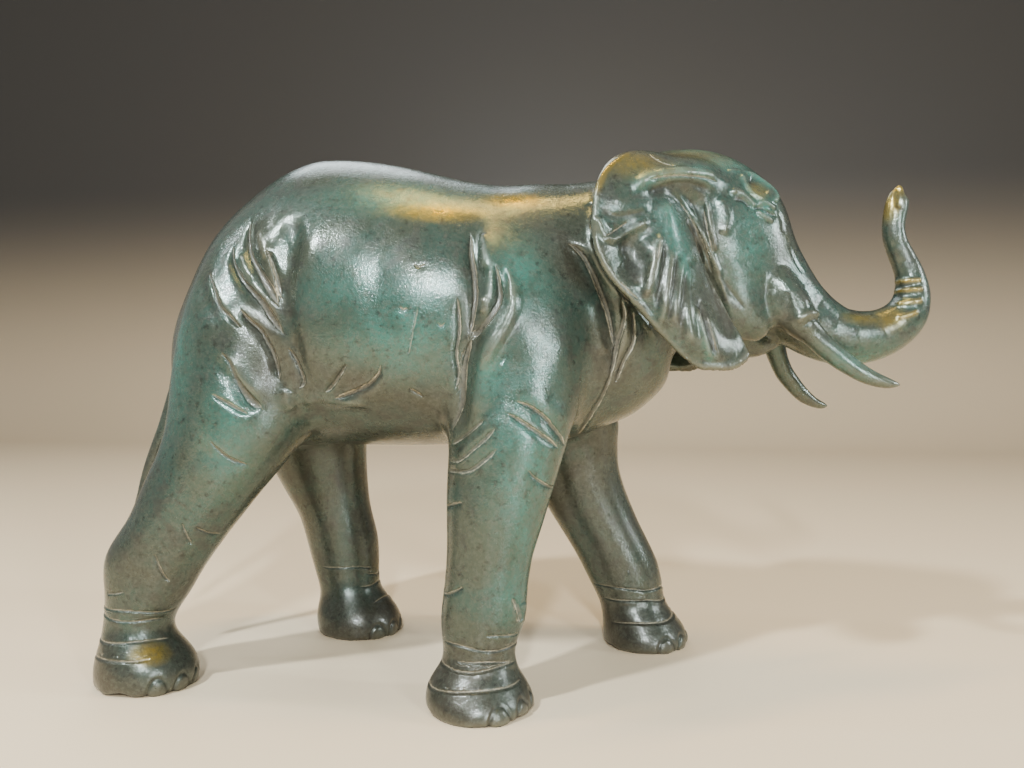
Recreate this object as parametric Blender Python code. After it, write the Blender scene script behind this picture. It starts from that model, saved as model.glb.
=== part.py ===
"""A walking elephant with its trunk raised, a hollow bronze casting.

The elephant faces +X, its left side is +Y, and its four soles rest on z = 0.
Dimensions are millimetres along the casting's own axes; build() turns the
finished mesh into metres and puts its origin under the middle of its box.

Every limb is a closed loft through a short list of named stations.  The lofts
are fused, softened where they meet, folded along the main creases of the skin,
thinned out to a faceted solid and cut flat at the soles.
"""
import math

import bmesh
import bpy
import numpy as np
from mathutils import Matrix, Vector

# ------------------------------------------------------------------ dimensions
MILLIMETRE = 0.001
LEFT = 1
RIGHT = -1
HEAD_TURN_DEG = 6.0          # the head looks a little to the left
HEAD_PIVOT_X = 82.0
LEVEL_BELOW_SOLE = -4.0      # the feet are lofted past the cut of the soles

FULLNESS = 0.9               # below 1, the torso's and head's rings are fuller
TORSO_PEAR = 0.1             # how much wider each ring is below its middle
HEAD_PEAR = 0.04

EAR_THICKNESS = 2.7
EAR_BOW = 3.6                # how far an ear's middle stands out from its edges
EAR_FULL_BOW_WIDTH = 30.0    # rows of the ear narrower than this bow less

BODY_VOXEL = 2.2             # first fuse: torso, head, trunk and legs
BODY_SMOOTHING = 24
DETAIL_VOXEL = 1.25          # second fuse: with ears, tusks, jaw and tail
DETAIL_SMOOTHING = 3
DETAIL_SOFTNESS = 0.8
TRIANGLES = 9400             # in the finished solid, before the soles are cut
SHORTEST_EDGE = 0.05
SHARP_ANGLE_DEG = 60.0

PATINA_COLOUR = (0.075, 0.105, 0.078, 1)
PATINA_METALLIC = 0.55
PATINA_ROUGHNESS = 0.36

# Torso: x, lowest z, highest z, half width
TORSO = [
    (-90, 106, 118, 4),
    (-88, 99, 124.5, 10),
    (-84, 90, 132, 18),
    (-78, 82, 142, 25),
    (-70, 78.5, 155.5, 31.5),
    (-60, 77.5, 165.7, 37.5),
    (-47, 77.5, 174.9, 42),
    (-38, 78, 179.2, 44.5),
    (-28, 78.5, 181.3, 46),
    (-12, 78.5, 180, 47),
    (5, 78.5, 176.6, 46.5),
    (16, 79, 173.6, 44.5),
    (25, 79.5, 171.8, 43),
    (36, 80, 170.3, 41),
    (46, 80, 171.2, 38.5),
    (55, 80.5, 170.5, 35.5),
    (62, 82.5, 171.2, 33),
    (70, 86, 172.2, 30),
    (80, 90, 172, 26),
    (92, 101, 170, 18),
]

# Head, before it is turned: x, lowest z, highest z, half width
HEAD = [
    (74, 128, 171, 12),
    (80, 118, 179, 19),
    (90, 114, 182, 22.5),
    (102, 114, 182, 23),
    (112, 115, 179, 22.5),
    (121, 121, 173.4, 19.5),
    (128, 128, 166.4, 15.5),
    (132.5, 136, 158, 9),
]

# Trunk, before the head is turned: x, y, z, radius
TRUNK = [
    (112, 0, 150, 19),
    (120, 0, 142, 17.5),
    (128, 0, 133.5, 14.5),
    (135, 0, 126, 12.5),
    (142, 0, 120.6, 11.3),
    (149.5, 0, 117.3, 10.4),
    (157, 0, 116.6, 9.6),
    (164, 0, 118, 8.8),
    (170, 0, 121.2, 8),
    (174, 0, 126, 7.2),
    (175.4, 0, 132, 6.1),
    (174, 0, 139.5, 5.2),
    (170.8, 0, 146, 4.8),
    (168.6, 0, 151.5, 4.5),
    (168.3, 0, 156, 4.4),
    (169.3, 0, 160.5, 4.5),
    (170.7, 0, 164.2, 4.4),
    (171.7, 0, 166.6, 3.2),
]

# Swellings on each side of the head, before it is turned: centre x, distance
# from the mid plane, z, and the half sizes along x, y and z
HEAD_SWELLINGS = [
    (101, 18, 150, 7, 7.5, 11),      # temple, beside the ear's hinge
    (110, 13, 129, 13, 8.5, 14.5),   # cheek
    (118.5, 13.5, 122, 5.5, 6, 8),   # front corner of the cheek
    (118.3, 10.5, 163, 8.5, 7.5, 5.5),   # brow
    (121, 12, 150, 7, 6.5, 8),       # under the eye
    (91, 14, 168, 17, 13, 8.5),      # between the crown and the ear's hinge
]

# Hinge ridge that each ear hangs from, before the head is turned: x, distance
# from the mid plane, z, radius
EAR_HINGE = [
    (75, 35, 161.5, 2.6),
    (81, 32, 163.7, 4.2),
    (88, 28.5, 165.2, 5),
    (96, 23, 166, 5.4),
    (104, 17, 165.4, 5.2),
]

# Finger above the nostrils, before the head is turned: x, y, z, radius
TRUNK_FINGER = [
    (167.3, 0, 161, 2.6),
    (168.7, 0, 165, 2.4),
    (170.2, 0, 168, 2),
    (171.8, 0, 169.6, 1.2),
]

# Lower jaw, before the head is turned: x, y, z, radius
JAW = [
    (104, 0, 121, 8.5),
    (111, 0, 118.4, 8),
    (117, 0, 116.2, 6.9),
    (121.5, 0, 115, 5.6),
    (125.5, 0, 114.8, 3.8),
    (128.5, 0, 115.4, 2),
]

# Tusks, before the head is turned: x, distance from the mid plane, z, radius
RIGHT_TUSK = [
    (119, 12, 140, 5.5),
    (125, 13.5, 132.5, 6.4),
    (130, 15, 125, 6.6),
    (133, 16, 120.5, 6),
    (135.5, 16.5, 117.6, 4.3),
    (140, 17.2, 112.8, 3.9),
    (145, 18, 108.5, 3.6),
    (151, 18.8, 104.3, 3.1),
    (156, 19.3, 102, 2.6),
    (161, 19.4, 100.7, 1.8),
    (164.2, 19.3, 100.5, 0.8),
]
LEFT_TUSK = [
    (119, 12, 139, 5.5),
    (124, 13, 131, 6.2),
    (128, 13.6, 123.5, 6.2),
    (130.3, 14, 118.5, 5.4),
    (132, 14.5, 114.3, 4.1),
    (133.6, 15.2, 109.5, 3.7),
    (136, 16.2, 104.5, 3.5),
    (139.6, 17.2, 100.2, 3.3),
    (143.6, 18.3, 96.2, 2.9),
    (148, 19, 93.5, 2.3),
    (151.4, 19.2, 92.5, 1.6),
    (153.8, 19.2, 92.3, 0.8),
]

# Ear, before the head is turned, from the top down:
# z, x and distance out of the rear edge, x and distance out of the front edge
EAR = [
    (176.6, 78, 20, 90, 14),
    (175.4, 72.7, 26, 93.5, 17),
    (172, 68.6, 33, 95, 20),
    (167, 65.3, 38.5, 95, 22),
    (160.5, 63.5, 42.5, 93.5, 23.5),
    (152, 62.5, 44, 95, 24.5),
    (143, 63.5, 44, 97.5, 26),
    (135, 67, 43.5, 100.5, 28),
    (128, 72, 42.5, 103.5, 30.5),
    (121, 77.5, 41.5, 107, 32),
    (114, 84.5, 40, 110.5, 33.5),
    (108.5, 90.5, 38.5, 110.5, 34.5),
    (105.5, 94.5, 37.5, 105.5, 36),
]

# Ear pleats, x and z along each before the head is turned: width, height, path
EAR_PLEATS = [
    (3.4, 2.6, [(85.5, 160), (86, 152), (87, 144), (90, 137), (93, 130)]),
    (2.4, 1.8, [(92, 159), (93.5, 153), (95.5, 146), (99.5, 138), (103, 128)]),
    (2.2, 1.8, [(86, 140), (85, 131), (82, 122)]),
    (2.2, 1.8, [(90, 133), (88, 124), (86.5, 115)]),
    (2.2, 1.8, [(94, 127), (92.5, 118), (93, 110)]),
    (2.2, 1.6, [(98, 124), (98, 115), (100, 108)]),
    (2.8, 2.0, [(80.5, 146), (81, 139), (78.5, 129)]),
    (5.0, -3.6, [(73, 151), (73.5, 142), (75.5, 133)]),
    (2.6, 1.6, [(72, 162), (84, 163.5), (99, 163)]),
]

# Legs from the top down: z, x, distance out from the mid plane, half length
# along x, half width along y
FORELEG_TOP = [
    (152, 36, 18, 14, 14),
    (138, 37, 23, 22, 19),
    (118, 39, 26, 26, 20),
    (100, 40, 29, 23.5, 18),
]
RIGHT_FORELEG = FORELEG_TOP + [
    (88, 40, 31.5, 20.6, 17),
    (78, 39, 33, 18.9, 16),
    (68, 37.2, 34, 17.6, 15),
    (57, 35.8, 35, 15.7, 13.8),
    (51, 34.8, 35.3, 14.5, 13.3),
    (46, 34.1, 35.5, 13.9, 13),
    (37, 33, 36, 13.5, 12.5),
    (28, 32.3, 36, 14.1, 12.3),
    (22, 31.3, 36.2, 12.8, 11.6),
    (17, 31.1, 36.8, 11.4, 11.1),
    (14, 31, 37.3, 11.7, 11.8),
    (11, 30.5, 37.8, 13.4, 13.6),
    (8, 30.6, 38.2, 15.7, 15.9),
    (4, 31.2, 38.6, 17.6, 18.4),
    (0, 31.9, 38.8, 16.9, 18.8),
    (LEVEL_BELOW_SOLE, 31.9, 38.8, 14.6, 16.2),
]
LEFT_FORELEG = FORELEG_TOP + [
    (88, 51.5, 30, 23, 16.5),
    (78, 53.5, 31.5, 20, 16),
    (66, 56.4, 33, 17.9, 15),
    (57, 59.9, 34, 17.5, 14),
    (49, 63.8, 34.5, 16.7, 13.3),
    (40, 68.9, 35, 16, 12.8),
    (31, 73.7, 35.3, 15.6, 12.5),
    (23, 76.5, 35.3, 14.5, 12),
    (17, 78.3, 35, 12.9, 11.8),
    (13, 80.2, 34.8, 13.3, 13.5),
    (8, 82.7, 34.5, 15.5, 16),
    (3.5, 84.2, 34.2, 16.9, 17.8),
    (0, 83.8, 34.2, 16.4, 17.5),
    (LEVEL_BELOW_SOLE, 83.8, 34.2, 14, 15),
]
HIND_LEG_TOP = [
    (162, -46, 12, 12, 11),
    (150, -49, 18.5, 16.5, 16.5),
    (128, -50, 25, 22, 20.5),
    (108, -51, 28, 24.5, 20),
]
RIGHT_HIND_LEG = HIND_LEG_TOP + [
    (96, -52, 30, 24, 18.5),
    (84, -53, 31.5, 24.5, 17),
    (73, -58.9, 32.5, 22.5, 15.5),
    (66, -63.5, 32.8, 21.2, 14.7),
    (60, -67.3, 33, 20, 14),
    (54, -71.3, 33.3, 19.1, 13.5),
    (50, -74.7, 33.4, 19.1, 13.2),
    (46, -77.5, 33.5, 19, 12.9),
    (40, -80.7, 33.5, 17.8, 12.5),
    (35, -82, 33.5, 15.9, 12.1),
    (30, -83.1, 33.5, 14.1, 11.8),
    (25.5, -85.2, 33.5, 12.7, 11.5),
    (22, -86.4, 33.5, 11.5, 11.4),
    (18.5, -87, 33.7, 11.2, 11.6),
    (15, -86.2, 34, 12.6, 13),
    (11.5, -84.5, 34.3, 15.1, 15),
    (6, -83.3, 34.5, 17.6, 16.2),
    (0, -83.5, 34.3, 16.9, 15.5),
    (LEVEL_BELOW_SOLE, -83.5, 34.3, 14.5, 13.2),
]
LEFT_HIND_LEG = HIND_LEG_TOP + [
    (96, -52, 30, 24, 18.5),
    (84, -51, 31.5, 23.5, 17),
    (73, -49.6, 33, 21.5, 15.5),
    (62, -47.1, 34, 18.9, 14.5),
    (54, -44.5, 34.5, 16.7, 13.5),
    (46, -41.4, 35, 15.2, 12.8),
    (38, -39.1, 35.2, 15.2, 12.4),
    (28, -37.5, 35.2, 14.1, 12),
    (20, -36.2, 35, 12.6, 11.7),
    (16, -35, 34.7, 12.6, 12.4),
    (12.5, -33.4, 34.3, 14.5, 14.2),
    (8, -32.1, 34, 17, 16.3),
    (3.5, -31, 33.7, 17.6, 17),
    (0, -30.8, 33.7, 16.9, 16.5),
    (LEVEL_BELOW_SOLE, -30.8, 33.7, 14.5, 14),
]

# Tail, hanging free behind the right hind leg: x, y, z, radius
TAIL = [
    (-68, 0, 150, 5),
    (-76, 0, 141, 5),
    (-82.5, 0, 129, 4.7),
    (-86.8, -1, 116, 4.2),
    (-87.8, -4, 105, 3.6),
    (-87.6, -8, 96, 3.3),
    (-90, -10, 86, 3.1),
    (-93, -11, 77, 2.9),
    (-96, -12, 68, 2.6),
    (-98, -12.5, 59, 2.5),
    (-99.5, -13, 51, 2.7),
    (-100, -13, 46, 1.6),
]


# Where limbs run into the body the skin is softened most: centre and radius
PLAIN_SOFTNESS = 0.2
SOFT_ZONES = [
    ((40, -28, 96), 30),     # elbows
    ((40, 28, 96), 30),
    ((38, -30, 130), 34),    # shoulders
    ((38, 30, 130), 34),
    ((-54, -28, 96), 32),    # thighs
    ((-54, 28, 96), 32),
    ((-56, -28, 135), 36),   # haunches
    ((-56, 28, 135), 36),
    ((78, 0, 150), 30),      # neck
    ((80, 0, 108), 18),      # throat
    ((126, 4, 140), 16),     # root of the trunk
    ((-80, 0, 110), 26),     # under the tail
]
SOFT_ZONE_FADE = 1.6         # a zone fades to nothing at this many radii

# Folds of the skin on each side, as x and z along each: width, depth, lip, path.
# The lip is a raised roll just in front of the crease.
RIGHT_FOLDS = [
    (3.0, 2.4, 1.6, [(29, 152), (31, 135), (30, 122), (29, 110), (27, 96), (25, 84)]),
    (2.6, 1.6, 1.6, [(40, 136), (38, 126), (34, 118), (31, 108)]),
    (2.2, 1.0, 0.6, [(25, 128), (25.5, 116), (26, 102)]),
    (3.0, 2.0, 1.4, [(58, 146), (65, 138), (69, 129), (72, 116), (72, 106)]),
    (4.2, 2.2, 1.2, [(-28, 156), (-28, 142), (-30, 131), (-30, 118), (-26, 104), (-25, 96)]),
    (2.8, 1.8, 1.2, [(-43, 154), (-44, 147), (-41, 140), (-34, 130)]),
    (2.6, 1.5, 1.0, [(-49, 146), (-47, 138), (-40, 128), (-31, 118)]),
    (2.4, 1.2, 0.8, [(-60, 138), (-59, 131), (-53, 124), (-48, 119)]),
    (2.6, 1.5, 1.0, [(-45, 125), (-37, 117), (-33, 107), (-33, 98)]),
    (2.6, 1.5, 1.0, [(-52, 111), (-48, 104), (-42, 97), (-35, 95)]),
    (2.4, 1.2, 0.8, [(-57, 83), (-52, 78), (-42, 75)]),
    (2.6, 1.3, 0.8, [(0, 108), (-4, 101), (-12, 97), (-20, 94)]),
    (2.4, 1.1, 0.8, [(42, 97), (49, 94), (58, 85)]),
    (2.4, 1.1, 0.8, [(38, 95), (31, 88), (24, 82)]),
]
LEFT_FOLDS = [
    (3.0, 2.0, 1.4, [(22, 146), (27, 134), (29, 118), (26, 100), (20, 88)]),
    (2.6, 1.5, 1.4, [(38, 134), (36, 122), (31, 110)]),
    (3.0, 1.8, 1.2, [(56, 146), (63, 138), (68, 126), (72, 110)]),
    (4.2, 2.0, 1.2, [(-33, 150), (-29, 138), (-30, 122), (-24, 106), (-25, 97)]),
    (2.8, 1.6, 1.2, [(-46, 150), (-45, 140), (-36, 127)]),
    (2.6, 1.4, 1.0, [(-57, 128), (-50, 118), (-44, 110), (-42, 102)]),
    (2.6, 1.4, 1.0, [(-50, 100), (-43, 93), (-33, 91)]),
]
LIP_OFFSET = 1.6             # a lip's distance from its crease, in crease widths
LIP_WIDTH = 0.9              # a lip's own width, in crease widths


# ------------------------------------------------------------- shaping helpers
def curve_through(stations, per_span):
    """Points of a smooth curve through the stations, per_span to each gap."""
    rows = np.array(stations, dtype=float)
    padded = np.vstack([2 * rows[0] - rows[1], rows, 2 * rows[-1] - rows[-2]])
    points = []
    for i in range(1, len(padded) - 2):
        a, b, c, d = padded[i - 1:i + 3]
        for step in range(per_span):
            t = step / per_span
            points.append(0.5 * (2 * b + (c - a) * t + (2 * a - 5 * b + 4 * c - d) * t ** 2
                                 + (3 * b - 3 * c + d - a) * t ** 3))
    points.append(rows[-1])
    return np.array(points)


def loft(rings):
    """Closed mesh data through equal rings of points, capped at both ends."""
    count = len(rings[0])
    points = [tuple(p) for ring in rings for p in ring]
    faces = []
    for r in range(len(rings) - 1):
        for k in range(count):
            n = (k + 1) % count
            faces.append((r * count + k, r * count + n, (r + 1) * count + n, (r + 1) * count + k))
    faces.append(tuple(reversed(range(count))))
    last = (len(rings) - 1) * count
    faces.append(tuple(range(last, last + count)))
    return points, faces


def barrel(stations, pear, sides=36):
    """Loft of upright rings across x: superellipses, wider below the middle."""
    rings = []
    for x, low, high, half_width in curve_through(stations, 4):
        ring = []
        for k in range(sides):
            turn = 2 * math.pi * k / sides
            across = math.copysign(abs(math.cos(turn)) ** FULLNESS, math.cos(turn))
            up = math.copysign(abs(math.sin(turn)) ** FULLNESS, math.sin(turn))
            y = half_width * across * (1 - pear * up)
            z = (low + high) / 2 + (high - low) / 2 * up
            ring.append((x, y, z))
        rings.append(ring)
    return loft(rings)


def column(stations, side, sides=28):
    """Loft of level ellipses down a leg; side is LEFT or RIGHT."""
    rings = []
    for z, x, out, half_length, half_width in curve_through(stations, 4):
        ring = []
        for k in range(sides):
            turn = 2 * math.pi * k / sides
            ring.append((x + half_length * math.cos(turn),
                         side * out + half_width * math.sin(turn), z))
        rings.append(ring)
    return loft(rings)


def tube(stations, sides=24):
    """Loft of rings square to a curve in space, each with its own radius."""
    rows = curve_through(stations, 4)
    ways = np.gradient(rows[:, :3], axis=0)
    rings = []
    for (x, y, z, radius), way in zip(rows, ways):
        along = Vector(way).normalized()
        across = Vector((0, 1, 0)) - along * along.y
        across.normalize()
        up = along.cross(across)
        ring = []
        for k in range(sides):
            turn = 2 * math.pi * k / sides
            spoke = across * math.cos(turn) + up * math.sin(turn)
            ring.append(tuple(Vector((x, y, z)) + spoke * radius))
        rings.append(ring)
    return loft(rings)


def ellipsoid(centre, half_sizes, sides=20, levels=12):
    """Loft of level rings up an ellipsoid."""
    cx, cy, cz = centre
    rx, ry, rz = half_sizes
    rings = []
    for level in range(levels + 1):
        rise = math.radians(-85 + 170 * level / levels)
        ring = []
        for k in range(sides):
            turn = 2 * math.pi * k / sides
            ring.append((cx + rx * math.cos(rise) * math.cos(turn),
                         cy + ry * math.cos(rise) * math.sin(turn),
                         cz + rz * math.sin(rise)))
        rings.append(ring)
    return loft(rings)


def stroke_distance(across, up, path):
    """Distance of each point from a stroke, and how far along it, 0 to 1."""
    path = curve_through(path, 3)
    lengths = np.hypot(*np.diff(path, axis=0).T)
    starts = np.concatenate([[0], np.cumsum(lengths)])
    nearest = np.full(across.shape, 1e9)
    along = np.zeros(across.shape)
    for (ax, az), (bx, bz), length, start in zip(path[:-1], path[1:], lengths, starts):
        t = ((across - ax) * (bx - ax) + (up - az) * (bz - az)) / length ** 2
        t = np.clip(t, 0, 1)
        reach = np.hypot(across - ax - t * (bx - ax), up - az - t * (bz - az))
        closer = reach < nearest
        nearest = np.where(closer, reach, nearest)
        along = np.where(closer, (start + t * length) / starts[-1], along)
    return nearest, along


def taper(along):
    """A stroke's strength along its length: full in the middle, none at its ends."""
    return np.clip(np.sin(np.pi * np.clip(along, 0.02, 0.98)) * 1.8, 0, 1)


def ear_sheet(side, columns=26):
    """An ear: a bowed, pleated sheet of even thickness, closed round its rim."""
    rows = curve_through(EAR, 3)
    grid = []
    for z, rear_x, rear_out, front_x, front_out in rows:
        s = np.linspace(0, 1, columns)
        x = rear_x + (front_x - rear_x) * s
        bow = EAR_BOW * np.sin(np.pi * s) * min(1, (front_x - rear_x) / EAR_FULL_BOW_WIDTH)
        out = rear_out + (front_out - rear_out) * s + bow
        grid.append(np.stack([x, out, np.full(columns, z)], axis=1))
    grid = np.array(grid)
    for width, height, path in EAR_PLEATS:
        reach, along = stroke_distance(grid[:, :, 0], grid[:, :, 2], path)
        grid[:, :, 1] += height * np.exp(-(reach / width) ** 2) * taper(along)
    slope_row = np.gradient(grid, axis=0)
    slope_column = np.gradient(grid, axis=1)
    normal = np.cross(slope_row, slope_column)
    normal /= np.linalg.norm(normal, axis=2, keepdims=True)
    normal *= np.sign(normal[:, :, 1:2])
    outer = grid
    inner = grid - normal * EAR_THICKNESS
    rings = []
    for r in range(len(rows)):
        ring = list(outer[r]) + list(inner[r][::-1])
        rings.append([(p[0], side * p[1], p[2]) for p in ring])
    return loft(rings)


def turned_with_head(shape):
    """The same shape after the head has turned."""
    turn = Matrix.Rotation(math.radians(HEAD_TURN_DEG), 4, "Z")
    to_pivot = Matrix.Translation((HEAD_PIVOT_X, 0, 0))
    matrix = to_pivot @ turn @ to_pivot.inverted()
    points, faces = shape
    return [tuple(matrix @ Vector(p)) for p in points], faces


def mirrored(stations, side):
    """Tube stations with their distance from the mid plane put on one side."""
    return [(x, side * out, z, radius) for x, out, z, radius in stations]


# ---------------------------------------------------------------- mesh helpers
def mesh_from(shapes, name):
    """One mesh that holds several shapes side by side, faces pointing out."""
    bm = bmesh.new()
    for points, faces in shapes:
        part = bmesh.new()
        made = [part.verts.new(p) for p in points]
        for face in faces:
            part.faces.new([made[i] for i in face])
        bmesh.ops.recalc_face_normals(part, faces=part.faces)
        scratch = bpy.data.meshes.new("scratch")
        part.to_mesh(scratch)
        part.free()
        bm.from_mesh(scratch)
        bpy.data.meshes.remove(scratch)
    mesh = bpy.data.meshes.new(name)
    bm.to_mesh(mesh)
    bm.free()
    return mesh


def baked(obj):
    """Replace an object's mesh with the mesh its modifiers give."""
    graph = bpy.context.evaluated_depsgraph_get()
    mesh = bpy.data.meshes.new_from_object(obj.evaluated_get(graph))
    obj.modifiers.clear()
    old = obj.data
    obj.data = mesh
    bpy.data.meshes.remove(old)


def fuse(obj, voxel):
    """Rebuild an object as one skin over everything that it holds."""
    remesh = obj.modifiers.new("fuse", "REMESH")
    remesh.mode = "VOXEL"
    remesh.voxel_size = voxel
    baked(obj)


def soften(obj, repeats, weights):
    """Smooth an object, each point by its own weight from 0 to 1."""
    group = obj.vertex_groups.new(name="soften")
    for step in range(1, 11):
        level = step / 10
        chosen = np.nonzero(np.round(weights * 10) == step)[0].tolist()
        if chosen:
            group.add(chosen, level, "REPLACE")
    smooth = obj.modifiers.new("soften", "SMOOTH")
    smooth.factor = 0.5
    smooth.iterations = repeats
    smooth.vertex_group = group.name
    baked(obj)
    obj.vertex_groups.clear()


def points_of(mesh):
    """A mesh's points as an array."""
    flat = np.zeros(len(mesh.vertices) * 3)
    mesh.vertices.foreach_get("co", flat)
    return flat.reshape(-1, 3)


def normals_of(mesh):
    """A mesh's point normals as an array."""
    flat = np.zeros(len(mesh.vertices) * 3)
    mesh.vertex_normals.foreach_get("vector", flat)
    return flat.reshape(-1, 3)


def near_ball(points, centre, radius):
    """Weights that are 1 inside a ball and fade to 0 a little outside it."""
    reach = np.linalg.norm(points - np.array(centre), axis=1)
    outer = SOFT_ZONE_FADE * radius
    return np.clip((outer - reach) / (outer - radius), 0, 1)


# --------------------------------------------------------------------- folding
def fold_skin(mesh, side, folds):
    """Press each fold into the skin of one side, with a raised lip beside it."""
    points = points_of(mesh)
    normals = normals_of(mesh)
    facing = np.clip(normals[:, 1] * side * 3, 0, 1)
    near = points[:, 1] * side > 0
    shift = np.zeros(len(points))
    for width, depth, lip, path in folds:
        reach, along = stroke_distance(points[:, 0], points[:, 2], path)
        offset = width * LIP_OFFSET
        beside, _ = stroke_distance(points[:, 0] - offset, points[:, 2], path)
        profile = lip * np.exp(-(beside / (width * LIP_WIDTH)) ** 2)
        profile -= depth * np.exp(-(reach / width) ** 2)
        shift += profile * taper(along)
    shift *= facing * near
    moved = points + normals * shift[:, None]
    mesh.vertices.foreach_set("co", moved.ravel())
    mesh.update()


# ----------------------------------------------------------------------- build
def body_shapes():
    """The torso, head, legs and trunk, which flow into each other."""
    head_parts = [barrel(HEAD, HEAD_PEAR), tube(TRUNK)]
    for side in (RIGHT, LEFT):
        head_parts.append(tube(mirrored(EAR_HINGE, side)))
        for x, out, z, rx, ry, rz in HEAD_SWELLINGS:
            head_parts.append(ellipsoid((x, side * out, z), (rx, ry, rz)))
    return [
        barrel(TORSO, TORSO_PEAR),
        column(RIGHT_FORELEG, RIGHT),
        column(LEFT_FORELEG, LEFT),
        column(RIGHT_HIND_LEG, RIGHT),
        column(LEFT_HIND_LEG, LEFT),
    ] + [turned_with_head(part) for part in head_parts]


def detail_shapes():
    """The thinner parts that stand out from the body: ears, tusks, jaw and tail."""
    head_parts = [
        ear_sheet(RIGHT),
        ear_sheet(LEFT),
        tube(mirrored(RIGHT_TUSK, RIGHT), 16),
        tube(mirrored(LEFT_TUSK, LEFT), 16),
        tube(JAW, 16),
        tube(TRUNK_FINGER, 12),
    ]
    return [turned_with_head(part) for part in head_parts] + [tube(TAIL, 16)]


def softness(points):
    """How far each point is softened: most where limbs run into the body."""
    weights = np.full(len(points), PLAIN_SOFTNESS)
    for centre, radius in SOFT_ZONES:
        weights = np.maximum(weights, near_ball(points, centre, radius))
    return weights


def cut_soles(bm):
    """Cut the feet flat at z = 0 and close each sole."""
    everything = bm.verts[:] + bm.edges[:] + bm.faces[:]
    bmesh.ops.bisect_plane(bm, geom=everything, plane_co=(0, 0, 0), plane_no=(0, 0, -1),
                           clear_outer=True)
    rims = [edge for edge in bm.edges if edge.is_boundary]
    bmesh.ops.edgeloop_fill(bm, edges=rims)


def bronze():
    """Green patina over bronze."""
    material = bpy.data.materials.new("patinated_bronze")
    material.use_nodes = True
    shader = material.node_tree.nodes["Principled BSDF"]
    shader.inputs["Base Color"].default_value = PATINA_COLOUR
    shader.inputs["Metallic"].default_value = PATINA_METALLIC
    shader.inputs["Roughness"].default_value = PATINA_ROUGHNESS
    return material


def build():
    """Make the one object of the casting."""
    for old in list(bpy.data.objects):
        bpy.data.objects.remove(old)

    body = bpy.data.objects.new("elephant", mesh_from(body_shapes(), "elephant"))
    bpy.context.scene.collection.objects.link(body)
    fuse(body, BODY_VOXEL)
    soften(body, BODY_SMOOTHING, softness(points_of(body.data)))

    details = mesh_from(detail_shapes(), "details")
    bm = bmesh.new()
    bm.from_mesh(body.data)
    bm.from_mesh(details)
    bm.to_mesh(body.data)
    bm.free()
    bpy.data.meshes.remove(details)
    fuse(body, DETAIL_VOXEL)
    soften(body, DETAIL_SMOOTHING, np.full(len(body.data.vertices), DETAIL_SOFTNESS))

    fold_skin(body.data, RIGHT, RIGHT_FOLDS)
    fold_skin(body.data, LEFT, LEFT_FOLDS)

    thin = body.modifiers.new("thin", "DECIMATE")
    body.data.calc_loop_triangles()
    thin.ratio = TRIANGLES / len(body.data.loop_triangles)
    baked(body)

    bm = bmesh.new()
    bm.from_mesh(body.data)
    cut_soles(bm)
    bmesh.ops.remove_doubles(bm, verts=bm.verts, dist=SHORTEST_EDGE)
    bmesh.ops.dissolve_degenerate(bm, edges=bm.edges, dist=SHORTEST_EDGE)
    bmesh.ops.triangulate(bm, faces=bm.faces)
    bmesh.ops.recalc_face_normals(bm, faces=bm.faces)
    points = np.array([v.co[:] for v in bm.verts])
    middle = (points.min(axis=0) + points.max(axis=0)) / 2
    to_origin = Matrix.Translation((-middle[0], -middle[1], 0))
    bmesh.ops.transform(bm, matrix=Matrix.Scale(MILLIMETRE, 4) @ to_origin, verts=bm.verts)
    bm.to_mesh(body.data)
    bm.free()

    body.data.shade_smooth()
    body.data.set_sharp_from_angle(angle=math.radians(SHARP_ANGLE_DEG))
    body.data.materials.clear()
    body.data.materials.append(bronze())


build()
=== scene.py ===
# %% [markdown]
# # A walking elephant in patinated bronze
#
# The real object is one hollow bronze casting, poured from a wax that somebody modelled by
# hand, chased with a graver after casting, and coloured with green and brown patina.  The
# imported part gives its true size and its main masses.  This lesson adds what the hand and
# the weather added: creases cut into the skin, pleated ears, eyes, toenails, and the
# layered colours of old bronze.

import math

import bpy
import numpy as np
from mathutils import Euler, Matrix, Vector


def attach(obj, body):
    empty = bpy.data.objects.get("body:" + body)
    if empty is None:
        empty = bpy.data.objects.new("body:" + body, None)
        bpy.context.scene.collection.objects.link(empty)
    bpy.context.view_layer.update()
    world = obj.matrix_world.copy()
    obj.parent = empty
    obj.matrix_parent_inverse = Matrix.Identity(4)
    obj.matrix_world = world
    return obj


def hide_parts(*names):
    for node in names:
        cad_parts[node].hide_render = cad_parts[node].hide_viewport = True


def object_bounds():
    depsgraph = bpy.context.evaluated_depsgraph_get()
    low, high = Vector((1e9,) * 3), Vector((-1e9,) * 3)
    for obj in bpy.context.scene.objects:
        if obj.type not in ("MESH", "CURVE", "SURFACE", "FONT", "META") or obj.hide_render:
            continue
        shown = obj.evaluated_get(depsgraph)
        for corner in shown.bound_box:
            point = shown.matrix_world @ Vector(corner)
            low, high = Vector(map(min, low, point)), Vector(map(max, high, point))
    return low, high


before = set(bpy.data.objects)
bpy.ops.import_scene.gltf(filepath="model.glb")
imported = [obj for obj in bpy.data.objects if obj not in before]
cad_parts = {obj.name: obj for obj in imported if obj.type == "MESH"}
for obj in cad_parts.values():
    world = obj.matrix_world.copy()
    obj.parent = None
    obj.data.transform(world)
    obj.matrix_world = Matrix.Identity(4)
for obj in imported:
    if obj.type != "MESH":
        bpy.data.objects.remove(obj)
cad_low, cad_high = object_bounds()
print("casting, mm:", [round(1000 * side) for side in cad_high - cad_low])

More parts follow.
